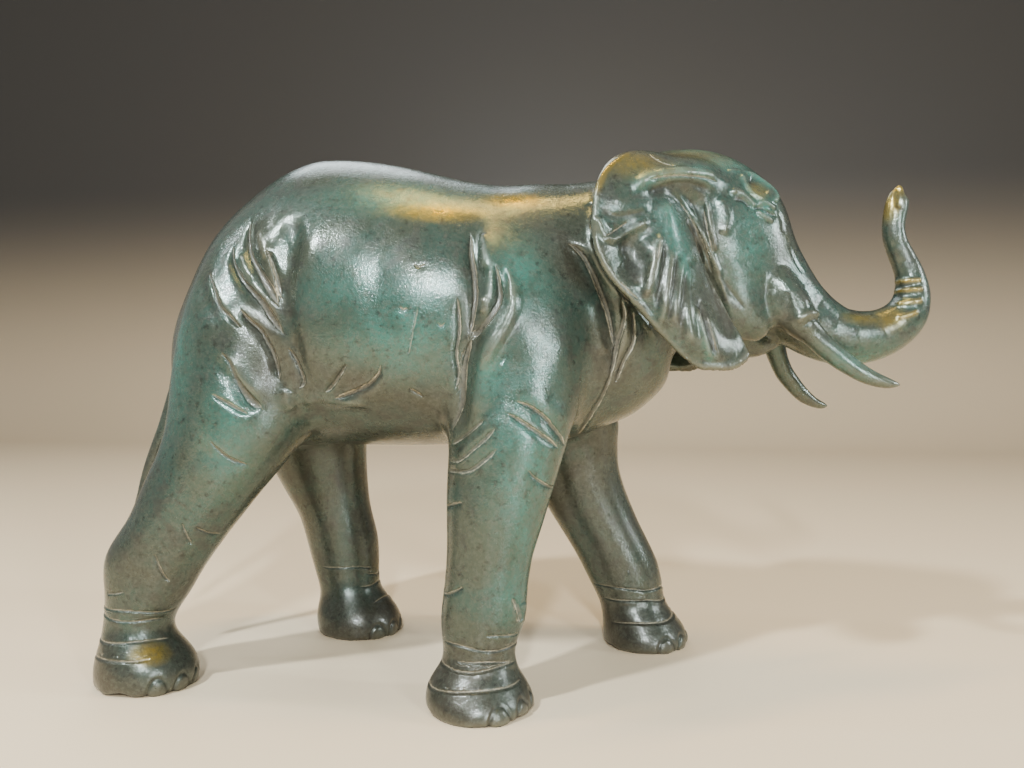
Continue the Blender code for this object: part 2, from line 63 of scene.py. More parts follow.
# %% [markdown]
# ## The casting's own millimetres
#
# A sculptor marks places on a figure from fixed points, not from the edge of the bench.
# Here every place is given in millimetres: x forward, y to the elephant's left, z up from
# the table, with zero under the middle of the back.  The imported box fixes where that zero
# lies, so all the marks follow the casting.

# %% Places on the casting
MM = 0.001
REAR_REACH = 101.97      # from zero back to the end of the casting
LEFT_REACH = 51.55       # from zero out to the elephant's left
RIGHT, LEFT = -1, 1
zero = Vector((cad_low.x + REAR_REACH * MM, cad_high.y - LEFT_REACH * MM, cad_low.z))


def placed(x, y, z):
    """A place on the casting, in metres, from its own millimetres."""
    return zero + Vector((x, y, z)) * MM


print("zero of the casting, m:", [round(c, 4) for c in zero])

# %% [markdown]
# ## The camera
#
# The figure is seen from its right, a little ahead of the shoulder and just above half its
# height.  A short distance and a wide lens make the near legs look longer than the far
# ones, which is what gives a small bronze its presence.

# %% Set the camera
CAMERA_LENS = 29.9
CAMERA_SENSOR = 36
CAMERA_PLACE = (78.6, -300.9, 103.8)
CAMERA_TILT = 89.4       # degrees up from straight down
CAMERA_SWING = 8         # degrees to the elephant's rear

camera_data = bpy.data.cameras.new("camera")
camera_data.lens = CAMERA_LENS
camera_data.sensor_width = CAMERA_SENSOR
camera = bpy.data.objects.new("camera", camera_data)
camera.location = placed(*CAMERA_PLACE)
camera.rotation_euler = Euler((math.radians(CAMERA_TILT), 0, math.radians(CAMERA_SWING)))
bpy.context.scene.collection.objects.link(camera)
bpy.context.scene.camera = camera
print("camera distance, mm:", round((camera.location - zero).length / MM))

# %% [markdown]
# ## Floor and backdrop
#
# A studio sweep is one sheet that lies flat under the object and curves up behind it, so no
# hard line runs behind the figure.  A plane is added, its far edge is extruded upwards, and
# the fold between the two is bevelled into a wide curve.


# %% Helpers for working by hand
def deselect_all():
    """Leave nothing selected and no edit mode open."""
    if bpy.context.object and bpy.context.object.mode != "OBJECT":
        bpy.ops.object.mode_set(mode="OBJECT")
    bpy.ops.object.select_all(action="DESELECT")


def select_only(piece):
    """Make one piece the selected and active one."""
    deselect_all()
    piece.select_set(True)
    bpy.context.view_layer.objects.active = piece


def apply_modifier(piece, kind, **settings):
    """Add a modifier to a piece, set it and apply it."""
    select_only(piece)
    bpy.ops.object.modifier_add(type=kind)
    modifier = piece.modifiers[-1]
    for name, value in settings.items():
        setattr(modifier, name, value)
    bpy.ops.object.modifier_apply(modifier=modifier.name)


def choose(piece, mode, test):
    """In edit mode, select the vertices, edges or faces whose middle passes the test."""
    bpy.ops.mesh.select_mode(type=mode)
    bpy.ops.mesh.select_all(action="DESELECT")
    bpy.ops.object.mode_set(mode="OBJECT")
    mesh = piece.data
    parts = {"VERT": mesh.vertices, "EDGE": mesh.edges, "FACE": mesh.polygons}[mode]
    for part in parts:
        if mode == "VERT":
            middle = part.co
        else:
            corners = [mesh.vertices[v].co for v in part.vertices]
            middle = sum(corners, Vector()) / len(corners)
        part.select = bool(test(middle))
    bpy.ops.object.mode_set(mode="EDIT")


# %% Build the sweep
SWEEP_HALF = 1.35        # metres each way from the figure
SWEEP_RISE = 1.5
SWEEP_BEND = 0.45        # how far the curve reaches along the floor and up the wall
FAR_EDGE = 0.99 * SWEEP_HALF

deselect_all()
bpy.ops.mesh.primitive_plane_add(size=2 * SWEEP_HALF, location=(0, 0, cad_low.z))
sweep = bpy.context.object
sweep.name = "studio_sweep"
bpy.ops.object.transform_apply(location=True, rotation=True, scale=True)
bpy.ops.object.mode_set(mode="EDIT")
choose(sweep, "EDGE", lambda m: m.y > FAR_EDGE)
bpy.ops.mesh.extrude_region_move(TRANSFORM_OT_translate={"value": (0, 0, SWEEP_RISE)})
choose(sweep, "EDGE", lambda m: m.y > FAR_EDGE and abs(m.z - cad_low.z) < 0.01)
bpy.ops.mesh.bevel(offset=SWEEP_BEND, segments=24, profile=0.5)
bpy.ops.object.mode_set(mode="OBJECT")
bpy.ops.object.shade_smooth()
print("sweep faces:", len(sweep.data.polygons))

# %% [markdown]
# ## Light
#
# Bronze is read by its reflections, so the lights are small windows whose shapes show on the
# skin.  Three hang high and make the bright spots of the flank and haunch.  A tall narrow one
# ahead draws a streak down the ear, the cheek and each leg, and one straight in front edges
# the shoulder, the tusks and the trunk.  A narrow warm lamp overhead glints on the back, whose
# gold is partly rubbed metal and partly a painted warm highlight, and a large weak sheet keeps
# the far side from going black.


# %% Hang the lights
LIGHT_AIM = (40, 0, 110)
COOL = (0.86, 0.95, 1.0)
WARM = (1.0, 0.70, 0.22)
ROOM_GREY = (0.30, 0.30, 0.285, 1)


def hang_light(name, direction, distance, width, height, power, colour):
    """A soft oval light that looks at the middle of the figure; sizes in metres."""
    data = bpy.data.lights.new(name, "AREA")
    data.shape = "ELLIPSE"
    data.size = width
    data.size_y = height
    data.energy = power
    data.color = colour
    light = bpy.data.objects.new(name, data)
    aim = placed(*LIGHT_AIM)
    way = Vector(direction).normalized()
    light.location = aim + way * distance
    light.rotation_euler = (-way).to_track_quat("-Z", "Y").to_euler()
    bpy.context.scene.collection.objects.link(light)
    return light


lights = [
    hang_light("window_flank", (0.09, -0.90, 0.42), 0.95, 0.05, 0.12, 5.4, COOL),
    hang_light("window_rear", (-0.42, -0.58, 0.70), 0.95, 0.05, 0.09, 6.4, COOL),
    hang_light("window_tail", (-0.72, -0.10, 0.69), 0.95, 0.04, 0.06, 0.6, COOL),
    hang_light("window_front", (0.60, -0.79, 0.16), 1.0, 0.05, 0.46, 3.6, COOL),
    hang_light("window_ahead", (0.95, -0.06, 0.30), 0.95, 0.06, 0.30, 2.4, COOL),
    hang_light("lamp_above", (0.03, 0.02, 1.0), 0.85, 0.05, 0.42, 1.9, WARM),
    hang_light("fill_far", (-0.35, 0.62, 0.78), 1.15, 0.60, 0.60, 2.4, COOL),
]
world = bpy.data.worlds.new("room")
bpy.context.scene.world = world
world.use_nodes = True
world.node_tree.nodes["Background"].inputs["Color"].default_value = ROOM_GREY
world.node_tree.nodes["Background"].inputs["Strength"].default_value = 1.0
bpy.context.scene.view_settings.look = "AgX - Medium High Contrast"
print("lights:", [light.name for light in lights])

# %% [markdown]
# ## A skin fine enough to carve
#
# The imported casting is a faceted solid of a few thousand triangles.  A sculptor would refine
# it before cutting detail.  A copy of its mesh is merged, rounded by subdivision, and rebuilt
# on a fine even grid by a voxel remesh.  Even quads take a crease in any direction, which
# the long triangles of the solid can't.

# %% Copy, merge and refine
MERGE_GAP = 0.002 * MM   # corners of the solid closer than this are one
SKIN_GRID = 0.50 * MM    # spacing of the fine skin

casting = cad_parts["elephant"]
select_only(casting)
bpy.ops.object.duplicate()
elephant = bpy.context.object
elephant.name = "elephant_skin"
elephant.data.name = "elephant_skin"
bpy.ops.object.mode_set(mode="EDIT")
bpy.ops.mesh.select_all(action="SELECT")
bpy.ops.mesh.remove_doubles(threshold=MERGE_GAP)
bpy.ops.object.mode_set(mode="OBJECT")
apply_modifier(elephant, "SUBSURF", levels=2, render_levels=2)
apply_modifier(elephant, "REMESH", mode="VOXEL", voxel_size=SKIN_GRID)
print("fine skin:", len(elephant.data.vertices), "points")


# %% Read and move the skin's points
def skin_points():
    """The skin's points, in the casting's millimetres."""
    flat = np.empty(len(elephant.data.vertices) * 3)
    elephant.data.vertices.foreach_get("co", flat)
    return (flat.reshape(-1, 3) - np.array(zero)) / MM


def skin_normals():
    """The way each point of the skin faces."""
    flat = np.empty(len(elephant.data.vertices) * 3)
    elephant.data.vertex_normals.foreach_get("vector", flat)
    return flat.reshape(-1, 3)


def move_skin(points):
    """Put the skin's points at new places, given in the casting's millimetres."""
    metres = points * MM + np.array(zero)
    elephant.data.vertices.foreach_set("co", metres.ravel())
    elephant.data.update()


def start_carving():
    """The skin's points and the ways they face, with a shift of nothing for each."""
    points = skin_points()
    return points, skin_normals(), np.zeros(len(points))


def finish_carving(points, normals, shift):
    """Move each point of the skin by its shift, in or out along its normal."""
    move_skin(points + normals * shift[:, None])


def weigh_skin(name, weights, least=0.0):
    """A group of the skin's points with a weight for each, in steps of a tenth."""
    group = elephant.vertex_groups.new(name=name)
    levels = np.round(weights * 10).astype(int)
    for level in range(11):
        chosen = np.nonzero(levels == level)[0].tolist()
        if chosen:
            group.add(chosen, max(level / 10, least), "REPLACE")
    return group.name


def ramp(values, start, end):
    """0 at start and 1 at end, with soft shoulders; start may be above end."""
    t = np.clip((values - start) / (end - start), 0, 1)
    return t * t * (3 - 2 * t)


# %% [markdown]
# ## The head's own frame
#
# The head looks six degrees to the elephant's left.  Places on it are easier to give as if
# it looked straight ahead, because then one list serves both sides.

# %% Turn places back into the straight head
HEAD_TURN = math.radians(6)
HEAD_PIVOT = 82.0


def straight_head(points):
    """Places as they would be if the head looked straight ahead."""
    x, y = points[:, 0] - HEAD_PIVOT, points[:, 1]
    ahead = HEAD_PIVOT + x * math.cos(HEAD_TURN) + y * math.sin(HEAD_TURN)
    across = -x * math.sin(HEAD_TURN) + y * math.cos(HEAD_TURN)
    return np.stack([ahead, across, points[:, 2]], axis=1)


# %% [markdown]
# ## Round off the facets
#
# Smoothing moves each point towards its neighbours.  It wipes out the facets of the solid,
# but it also thins whatever is thin already.  So the barrel and legs are smoothed fully,
# and the ears, tusks, trunk tip and tail only a little.


# %% Smooth by place
def thin_parts(points):
    """1 on ears, tusks, trunk and tail, 0 on the barrel and legs."""
    head = straight_head(points)
    x, y, z = head.T
    ear = ramp(np.abs(y), 21, 26) * ramp(z, 100, 106) * ramp(x, 56, 62)
    tusk = ramp(x, 126, 132) * ramp(z, 128, 122)
    trunk = ramp(x, 134, 144)
    ear_top = ramp(z, 168, 174) * ramp(x, 70, 76) * ramp(x, 100, 94)
    tail = ramp(points[:, 0], -80, -87) * ramp(np.abs(points[:, 1] + 6), 12, 9)
    tail *= ramp(points[:, 2], 36, 42)
    return np.clip(ear + tusk + trunk * 0.8 + ear_top + tail, 0, 1)


SMOOTHING_ROUNDS = 32
THIN_PARTS_SPARED = 0.82

group_name = weigh_skin("smooth", 1 - THIN_PARTS_SPARED * thin_parts(skin_points()))
apply_modifier(elephant, "SMOOTH", factor=0.5, iterations=SMOOTHING_ROUNDS,
               vertex_group=group_name)
elephant.vertex_groups.clear()
print("skin smoothed")

# %% [markdown]
# ## How a crease is cut
#
# On the wax, a crease is a stroke of a loop tool: it starts thin, widens, fades out, and
# pushes a soft roll of wax up on one side.  The same stroke is made here.  A crease is a
# short list of places with a half width at each, drawn as a smooth curve on the side of the
# figure, and the skin is pressed in along its own normals.  Sculpt brushes need a window, so
# the strokes are worked out from the distance to the curve instead.


# %% Strokes on the skin
worked = np.zeros(len(elephant.data.vertices))     # 1 where a stroke has been


def smooth_path(stations, per_span=4):
    """A smooth curve through the stations of a stroke."""
    rows = np.array(stations, dtype=float)
    ends = np.vstack([2 * rows[0] - rows[1], rows, 2 * rows[-1] - rows[-2]])
    path = []
    for before, a, b, after in zip(ends[:-3], ends[1:-2], ends[2:-1], ends[3:]):
        for t in np.arange(per_span) / per_span:
            path.append(0.5 * (2 * a + (b - before) * t
                               + (2 * before - 5 * a + 4 * b - after) * t ** 2
                               + (3 * a - 3 * b + after - before) * t ** 3))
    path.append(rows[-1])
    return np.array(path)


def stroke_field(flat, stations, reach):
    """For the places near a stroke: which they are, how far off, on which side, how far
    along it from 0 to 1, and the stroke's half width there."""
    path = smooth_path(stations)
    low = path[:, :2].min(axis=0) - reach
    high = path[:, :2].max(axis=0) + reach
    near = np.nonzero(((flat > low) & (flat < high)).all(axis=1))[0]
    u, v = flat[near].T
    lengths = np.hypot(*np.diff(path[:, :2], axis=0).T)
    starts = np.concatenate([[0], np.cumsum(lengths)])
    off = np.full(len(near), 1e9)
    side = np.zeros(len(near))
    along = np.zeros(len(near))
    width = np.ones(len(near))
    for a, b, length, start in zip(path[:-1], path[1:], lengths, starts):
        du, dv = (b[:2] - a[:2]) / length
        run = np.clip((u - a[0]) * du + (v - a[1]) * dv, 0, length)
        gap_u, gap_v = u - a[0] - run * du, v - a[1] - run * dv
        gap = np.hypot(gap_u, gap_v)
        closer = gap < off
        off = np.where(closer, gap, off)
        side = np.where(closer, np.sign(du * gap_v - dv * gap_u), side)
        along = np.where(closer, (start + run) / starts[-1], along)
        width = np.where(closer, a[2] + (b[2] - a[2]) * run / length, width)
    return near, off, side, along, width


def fade_ends(along, sharpness=2.6):
    """Full in the middle of a stroke, nothing at its two ends."""
    return np.clip(np.sin(np.pi * np.clip(along, 0.01, 0.99)) * sharpness, 0, 1)


def mark_worked(near, off, width, mask):
    """Remember where a stroke has been, for the later thinning of the skin."""
    touched = np.exp(-(off / (2.2 * width + 0.4)) ** 4) * (mask[near] > 0.05)
    worked[near] = np.maximum(worked[near], touched)


ROLL_LEFT = 0.35         # share of each roll that the sculptor's thumb leaves standing
DEPTH_SHARE = 0.75       # and of each cut's depth, after the wax is smoothed


def press(shift, flat, mask, stations, depth, roll=0.0, roll_side=1):
    """Add one crease to the shift: steep below a thin roll, and sloping on its other side."""
    widest = max(row[2] for row in stations)
    near, off, side, along, width = stroke_field(flat, stations, 4 * widest + 1.5)
    mark_worked(near, off, width, mask)
    width = np.maximum(width, 0.4)
    beside = off * side * roll_side
    steep = np.exp(-(off / (0.9 * width)) ** 4)
    sloping = np.exp(-(off / (2.1 * width)) ** 2)
    groove = -DEPTH_SHARE * depth * np.where(beside > 0, steep, sloping)
    lift = ROLL_LEFT * roll * np.exp(-((beside - 1.6 * width - 0.2) / (0.8 * width + 0.3)) ** 2)
    shift[near] += (groove + lift) * fade_ends(along) * mask[near]


def raise_ridge(shift, flat, mask, stations, height):
    """Add one rounded ridge to the shift."""
    widest = max(row[2] for row in stations)
    near, off, _, along, width = stroke_field(flat, stations, 3.5 * widest)
    mark_worked(near, off, 0.6 * width, mask)
    shift[near] += height * np.exp(-(off / width) ** 2) * fade_ends(along) * mask[near]


def facing_side(points, normals, side):
    """1 where the skin is on one side of the figure and faces that way."""
    return ramp(normals[:, 1] * side, 0.02, 0.3) * (points[:, 1] * side > 0)


# %% [markdown]
# ## Creases of the right side
#
# The deep folds sit where the skin is pulled: at the groin, where the thigh swings back, and
# behind the shoulder, where the foreleg swings under.  Fine cuts cross the elbow and knee.
# Each row is a place along the cut, x and z, with the half width there.

# %% Groin and thigh
# Each crease is its depth, the height of its roll, the side the roll is on, and its places
GROIN = [
    (1.3, 0.7, 1, [(-46, 155.5, .3), (-46, 150, .5), (-44.3, 144, .8), (-41.2, 139.2, 1.0),
                   (-37.6, 134.3, 1.3), (-34.5, 130, 1.4), (-32.4, 126, .7)]),
    (0.9, 0.5, -1, [(-36.4, 143.8, .3), (-33.6, 137.5, .5), (-32.4, 132, .7), (-31.5, 128.4, .6)]),
    (1.3, 0.8, 1, [(-50.8, 146.4, .3), (-49.7, 141, .5), (-46.3, 135.7, .8), (-42, 131, .9),
                   (-37.5, 126.7, 1.1), (-34.9, 122.7, 1.2), (-32.4, 119.2, .9),
                   (-30.7, 116.9, .5)]),
    (1.1, 0.6, 1, [(-57.8, 137.4, .3), (-54, 131, .6), (-51, 125.5, .8), (-47.8, 122.6, .6),
                   (-44, 118.6, .3)]),
    (1.2, 0.7, 1, [(-44.5, 124.7, .3), (-41.8, 121.3, .6), (-38.5, 118.4, .7),
                   (-36.3, 114.7, .8), (-34.4, 110.7, .8), (-33.3, 106, .7), (-32.8, 102, .4)]),
    (1.0, 0.5, 1, [(-29.1, 112.4, .3), (-27, 109, .5), (-25.8, 105.5, .6), (-24.9, 102, .7),
                   (-26.4, 99.8, .5)]),
    (1.3, 0.8, 1, [(-49.9, 110.9, .3), (-47, 107.2, .6), (-45.3, 102.7, .8), (-43, 98.7, 1.2),
                   (-40.5, 95.2, 1.4), (-37.7, 93.2, .8)]),
    (0.8, 0.4, 1, [(-52.8, 97.7, .3), (-48.5, 95.3, .6), (-45, 93.3, .6), (-41.6, 91.3, .3)]),
    (0.8, 0.4, 1, [(-53.6, 83.1, .3), (-50.9, 80, .6), (-47.4, 77.1, .6), (-43, 75.1, .3)]),
    (0.5, 0.2, 1, [(-64.2, 56.4, .3), (-63.6, 52.7, .4), (-62.6, 48.8, .3)]),
    (0.6, 0.2, 1, [(-73.6, 46.3, .3), (-72.4, 40.2, .5), (-70.6, 36.2, .3)]),
    (0.5, 0.2, 1, [(-60.4, 54.7, .3), (-57.9, 52.6, .4), (-55.6, 51.4, .3)]),
    (0.5, 0.2, -1, [(-92.2, 31.8, .3), (-88.6, 32.4, .4), (-85.2, 33.2, .3)]),
]
print("groin and thigh:", len(GROIN), "creases")

# %% Flank and belly
FLANK = [
    (0.8, 0.4, 1, [(-9.6, 107.2, .3), (-11.7, 104.4, .5), (-14.6, 101, .6), (-17.5, 98.6, .5)]),
    (0.9, 0.4, -1, [(1.6, 107.2, .3), (0.6, 104.4, .5), (-2.2, 101.5, .6), (-6.8, 99.2, .7),
                    (-14.6, 96.3, .5)]),
    (0.5, 0.2, 1, [(9.6, 99.6, .3), (11.6, 98.3, .5), (13.4, 97, .3)]),
    (0.25, 0.1, 1, [(13.6, 125.1, .2), (12.4, 120, .3), (11.5, 115.8, .3), (10.1, 109.4, .2)]),
    (0.3, 0.1, 1, [(7.9, 124.6, .3), (9.1, 123.8, .4), (10.3, 124.4, .3)]),
    (0.2, 0.1, 1, [(11.6, 138.0, .2), (13.4, 137.2, .3), (15.2, 138.2, .2)]),
    (0.25, 0.1, 1, [(19.3, 120, .2), (20.5, 118.7, .3), (21.7, 120, .2)]),
]
print("flank and belly:", len(FLANK), "creases")

# %% Shoulder and neck
SHOULDER = [
    (1.2, 0.3, 1, [(28, 148.5, .4), (28.7, 141, .8), (30.1, 134.7, .9), (30.7, 127.2, .9),
                   (30.1, 122, .7), (29.2, 116, .4)]),
    (0.7, 0.2, 1, [(25.2, 128, .3), (25.8, 122, .5), (25.8, 116.6, .5), (24.8, 110, .5),
                   (25.4, 104.7, .4), (24.3, 99, .3)]),
    (1.3, 0.9, 1, [(37, 137.8, .3), (38.3, 132.2, .6), (38.7, 127, .9), (36.9, 123, 1.0),
                   (34, 119.1, .9), (30.2, 115, .6)]),
    (1.1, 0.6, 1, [(29.7, 115, .5), (27.7, 108, .9), (27, 101.4, 1.0), (26.5, 94.8, .9),
                   (23, 86.5, .5)]),
    (1.1, 0.6, -1, [(58, 146.2, .3), (62.4, 142.8, .7), (65.7, 137.4, .8), (68.7, 130, .9),
                    (71.4, 122.4, .8), (72.8, 113, .4)]),
    (1.0, 0.6, 1, [(75.5, 127.7, .4), (76.2, 121.7, .7), (74.1, 114.3, .8), (72.8, 107.5, .6),
                   (71.6, 103, .3)]),
    (0.8, 0.5, 1, [(79, 124, .3), (79.2, 115, .6), (76, 108.2, .6), (73.5, 101.5, .4)]),
    (0.7, 0.4, 1, [(72.4, 104.8, .4), (68.9, 96.5, .6), (63.9, 88.6, .6), (60, 83, .3)]),
]
print("shoulder and neck:", len(SHOULDER), "creases")

# %% Elbow, knee and ankles
ELBOW = [
    (0.7, 0.3, 1, [(44.1, 95.7, .3), (47.9, 94.4, .5), (52.2, 91.1, .6), (54.8, 87.7, .6),
                   (57, 84.3, .5), (57.9, 81.4, .3)]),
    (0.8, 0.4, 1, [(41.6, 92.2, .3), (45.5, 89.9, .6), (49.9, 86.7, .7), (53.5, 84, .6),
                   (56.2, 81.2, .3)]),
    (0.6, 0.3, 1, [(34.6, 90.5, .3), (31.5, 87.8, .5), (26.6, 84.2, .5), (22.6, 82, .3)]),
    (0.7, 0.4, 1, [(38.1, 88, .3), (35.1, 84.7, .6), (31, 81.3, .6), (26.3, 77.7, .5),
                   (22, 76.6, .3)]),
    (0.7, 0.4, 1, [(38.5, 81.6, .3), (35.8, 79, .6), (30.3, 74.9, .6), (25, 74, .4),
                   (21.5, 73.8, .3)]),
    (0.6, 0.3, 1, [(47.6, 75.1, .3), (49.7, 72.4, .5), (52.5, 70, .5), (56, 67.2, .3)]),
    (0.5, 0.2, 1, [(20.8, 62.5, .3), (24, 63.8, .4), (27.6, 64.9, .3)]),
    (0.5, 0.2, 1, [(19.8, 34.8, .3), (24, 36.8, .4), (28, 39.2, .3)]),
    (0.8, 0.6, -1, [(42.6, 35.6, .4), (44.2, 31.2, .7), (44.6, 27.5, .5)]),
]
RIGHT_SIDE = GROIN + FLANK + SHOULDER + ELBOW
print("elbow, knee and ankles:", len(ELBOW), "creases")

# %% Ridges between the creases
# Each ridge is its height and its places
RIGHT_RIDGES = [
    (1.1, [(40, 138.5, 1), (42.4, 130.8, 1.5), (42.7, 124, 1.8), (40.1, 117.6, 2.1),
           (36.5, 111.8, 2.2), (33.4, 105, 1.8)]),
    (0.9, [(32, 149, 1.2), (33, 143, 1.8), (33.6, 136, 1.6)]),
    (0.7, [(34, 128, 1.2), (33.6, 122.5, 1.4)]),
    (0.8, [(-41.6, 151, 1.6), (-38.6, 146, 2.2), (-35.6, 141, 1.6)]),
    (0.7, [(-47.5, 143.5, 1.2), (-45.0, 138.6, 1.8), (-40.8, 134.6, 1.4)]),
    (0.9, [(-30.9, 99.5, 1.3), (-31.2, 95.8, 1.9), (-29.5, 92.5, 1.4)]),
    (0.8, [(-27, 94.6, 1.4), (-20.6, 96.2, 1.8), (-13, 95.6, 1.8), (-4, 94.2, 1.4)]),
    (-0.5, [(-4, 92, 1.2), (-12, 92.2, 1.6), (-20, 91.4, 1.8), (-28, 88, 1.4)]),
    (0.8, [(45.8, 33.5, 1.4), (46.2, 29.6, 2.0), (45.6, 26, 1.4)]),
    (0.8, [(66, 127.5, 1.6), (68.4, 119, 2.0), (69.6, 110, 1.6)]),
]
# x, z, half length, half height, and how far the skin swells out, all in millimetres
SWELLS = [
    (-17, 141, 15, 15, 1.2), (18, 130, 11, 18, 0.9), (1, 132, 5, 16, -0.5), (-35, 149, 5, 8, 0.8),
    (-46, 128, 5, 10, 0.5), (-18, 97, 16, 4, 0.7), (58, 112, 4, 9, 0.8), (60, 128, 8, 9, 0.7),
    (34, 66, 9, 16, 0.5), (45, 118, 6, 8, 0.6), (-78, 60, 6, 14, 0.6), (-92, 36, 5, 8, 0.5),
]
HAUNCH_TROUGH = [(-30.5, 155.5, 3.5), (-29, 147, 4.2), (-29.2, 140, 4.4), (-29.6, 132, 4.2),
                 (-28, 124, 3.8), (-25.6, 115, 3.2), (-23.6, 107.8, 2.6)]
TROUGH_DEPTH = 0.6
print("right side:", len(RIGHT_RIDGES), "ridges and", len(SWELLS), "swells")

# %% Cut the right side
points, normals, shift = start_carving()
side_view = points[:, [0, 2]]
right_face = facing_side(points, normals, RIGHT) * ramp(points[:, 0], 84, 78)
for x, z, half_length, half_height, height in SWELLS:
    reach = np.hypot((points[:, 0] - x) / half_length, (points[:, 2] - z) / half_height)
    shift += height * np.exp(-reach ** 2) * right_face
for height, stations in RIGHT_RIDGES:
    raise_ridge(shift, side_view, right_face, stations, height)
raise_ridge(shift, side_view, right_face, HAUNCH_TROUGH, -TROUGH_DEPTH)
for depth, roll, roll_side, stations in RIGHT_SIDE:
    press(shift, side_view, right_face, stations, depth, roll, roll_side)
finish_carving(points, normals, shift)
print("right side:", len(RIGHT_SIDE), "creases, deepest", round(-shift.min(), 2), "mm")

# %% [markdown]
# ## The left side
#
# The far side of a walking animal isn't a mirror of the near one: its legs are at the other
# end of their stride.  The folds are fewer and follow those legs.

# %% Cut the left side
LEFT_SIDE = [
    (1.1, 0.5, -1, [(22, 147, .4), (26, 138, .8), (28.5, 128, .9), (29, 118, .8), (27, 104, .8),
                    (20.5, 88, .4)]),
    (1.1, 0.8, -1, [(37.6, 137, .4), (37.6, 130, .8), (36, 122, .9), (33, 114.5, .6)]),
    (0.9, 0.5, -1, [(56, 146, .4), (61.5, 140, .8), (66, 131, .8), (69.5, 120, .7),
                    (72, 109, .4)]),
    (1.0, 0.5, -1, [(75.5, 127, .4), (76, 120, .7), (73.5, 112, .7), (71, 104, .4)]),
    (1.1, 0.6, -1, [(-46.5, 153, .3), (-45.5, 146, .7), (-42, 138, 1.0), (-36.5, 128, .9),
                    (-34, 122, .4)]),
    (1.0, 0.6, -1, [(-57, 134, .3), (-53, 125, .7), (-48, 116, .9), (-43.5, 106, .8),
                    (-42, 100, .4)]),
    (1.0, 0.5, -1, [(-51, 101, .3), (-46, 96, .7), (-40, 92, .8), (-33, 91, .4)]),
    (0.9, 0.4, 1, [(-6, 108, .3), (-10, 102, .6), (-17, 98, .7), (-24, 96.5, .4)]),
    (0.7, 0.3, -1, [(-62, 112, .3), (-57, 106, .5), (-52, 103, .3)]),
    (0.8, 0.4, -1, [(43, 99, .3), (49, 95.5, .6), (56, 90, .7), (63, 83, .4)]),
    (0.7, 0.4, -1, [(45, 93, .3), (52, 88, .6), (58, 82, .6), (62, 77, .3)]),
    (0.7, 0.3, 1, [(48, 75, .3), (54, 76.5, .6), (62, 75.8, .6), (70, 77, .3)]),
    (0.6, 0.3, 1, [(50, 70, .3), (58, 70.2, .5), (66, 69, .3)]),
    (0.6, 0.3, 1, [(58, 57, .3), (66, 57.4, .6), (74, 56, .3)]),
    (0.5, 0.2, 1, [(62, 52, .3), (68, 52.6, .5), (75, 50.5, .3)]),
    (0.6, 0.3, 1, [(-60, 76, .3), (-54, 73.5, .6), (-46, 73, .6), (-38, 74.5, .3)]),
    (0.5, 0.2, 1, [(-56, 60, .3), (-50, 58, .5), (-44, 58, .3)]),
]
LEFT_RIDGES = [
    (0.9, [(41, 138, 1.2), (42, 130, 1.8), (40.5, 121, 2.0), (37, 112, 1.8)]),
    (0.8, [(-41, 150, 1.6), (-38, 143, 2.2), (-34, 136, 1.6)]),
    (0.8, [(-24, 93.5, 1.4), (-14, 94.5, 1.8), (-2, 93.5, 1.4)]),
    (1.0, [(60, 45, 2.0), (66, 40, 3.0), (73, 34, 2.4)]),
]
points, normals, shift = start_carving()
side_view = points[:, [0, 2]]
left_face = facing_side(points, normals, LEFT) * ramp(points[:, 0], 92, 86)
for height, stations in LEFT_RIDGES:
    raise_ridge(shift, side_view, left_face, stations, height)
for depth, roll, roll_side, stations in LEFT_SIDE:
    press(shift, side_view, left_face, stations, depth, roll, roll_side)
finish_carving(points, normals, shift)
print("left side:", len(LEFT_SIDE), "creases")

# %% [markdown]
# ## Pleated ears
#
# The ear hangs from a hinge ridge like a heavy cloth.  One thick fold drops from the hinge,
# a cord of cartilage runs down the front edge, and pleats fan out behind them to the rim.
# The ear's outer face is carved, with the same list for both ears.

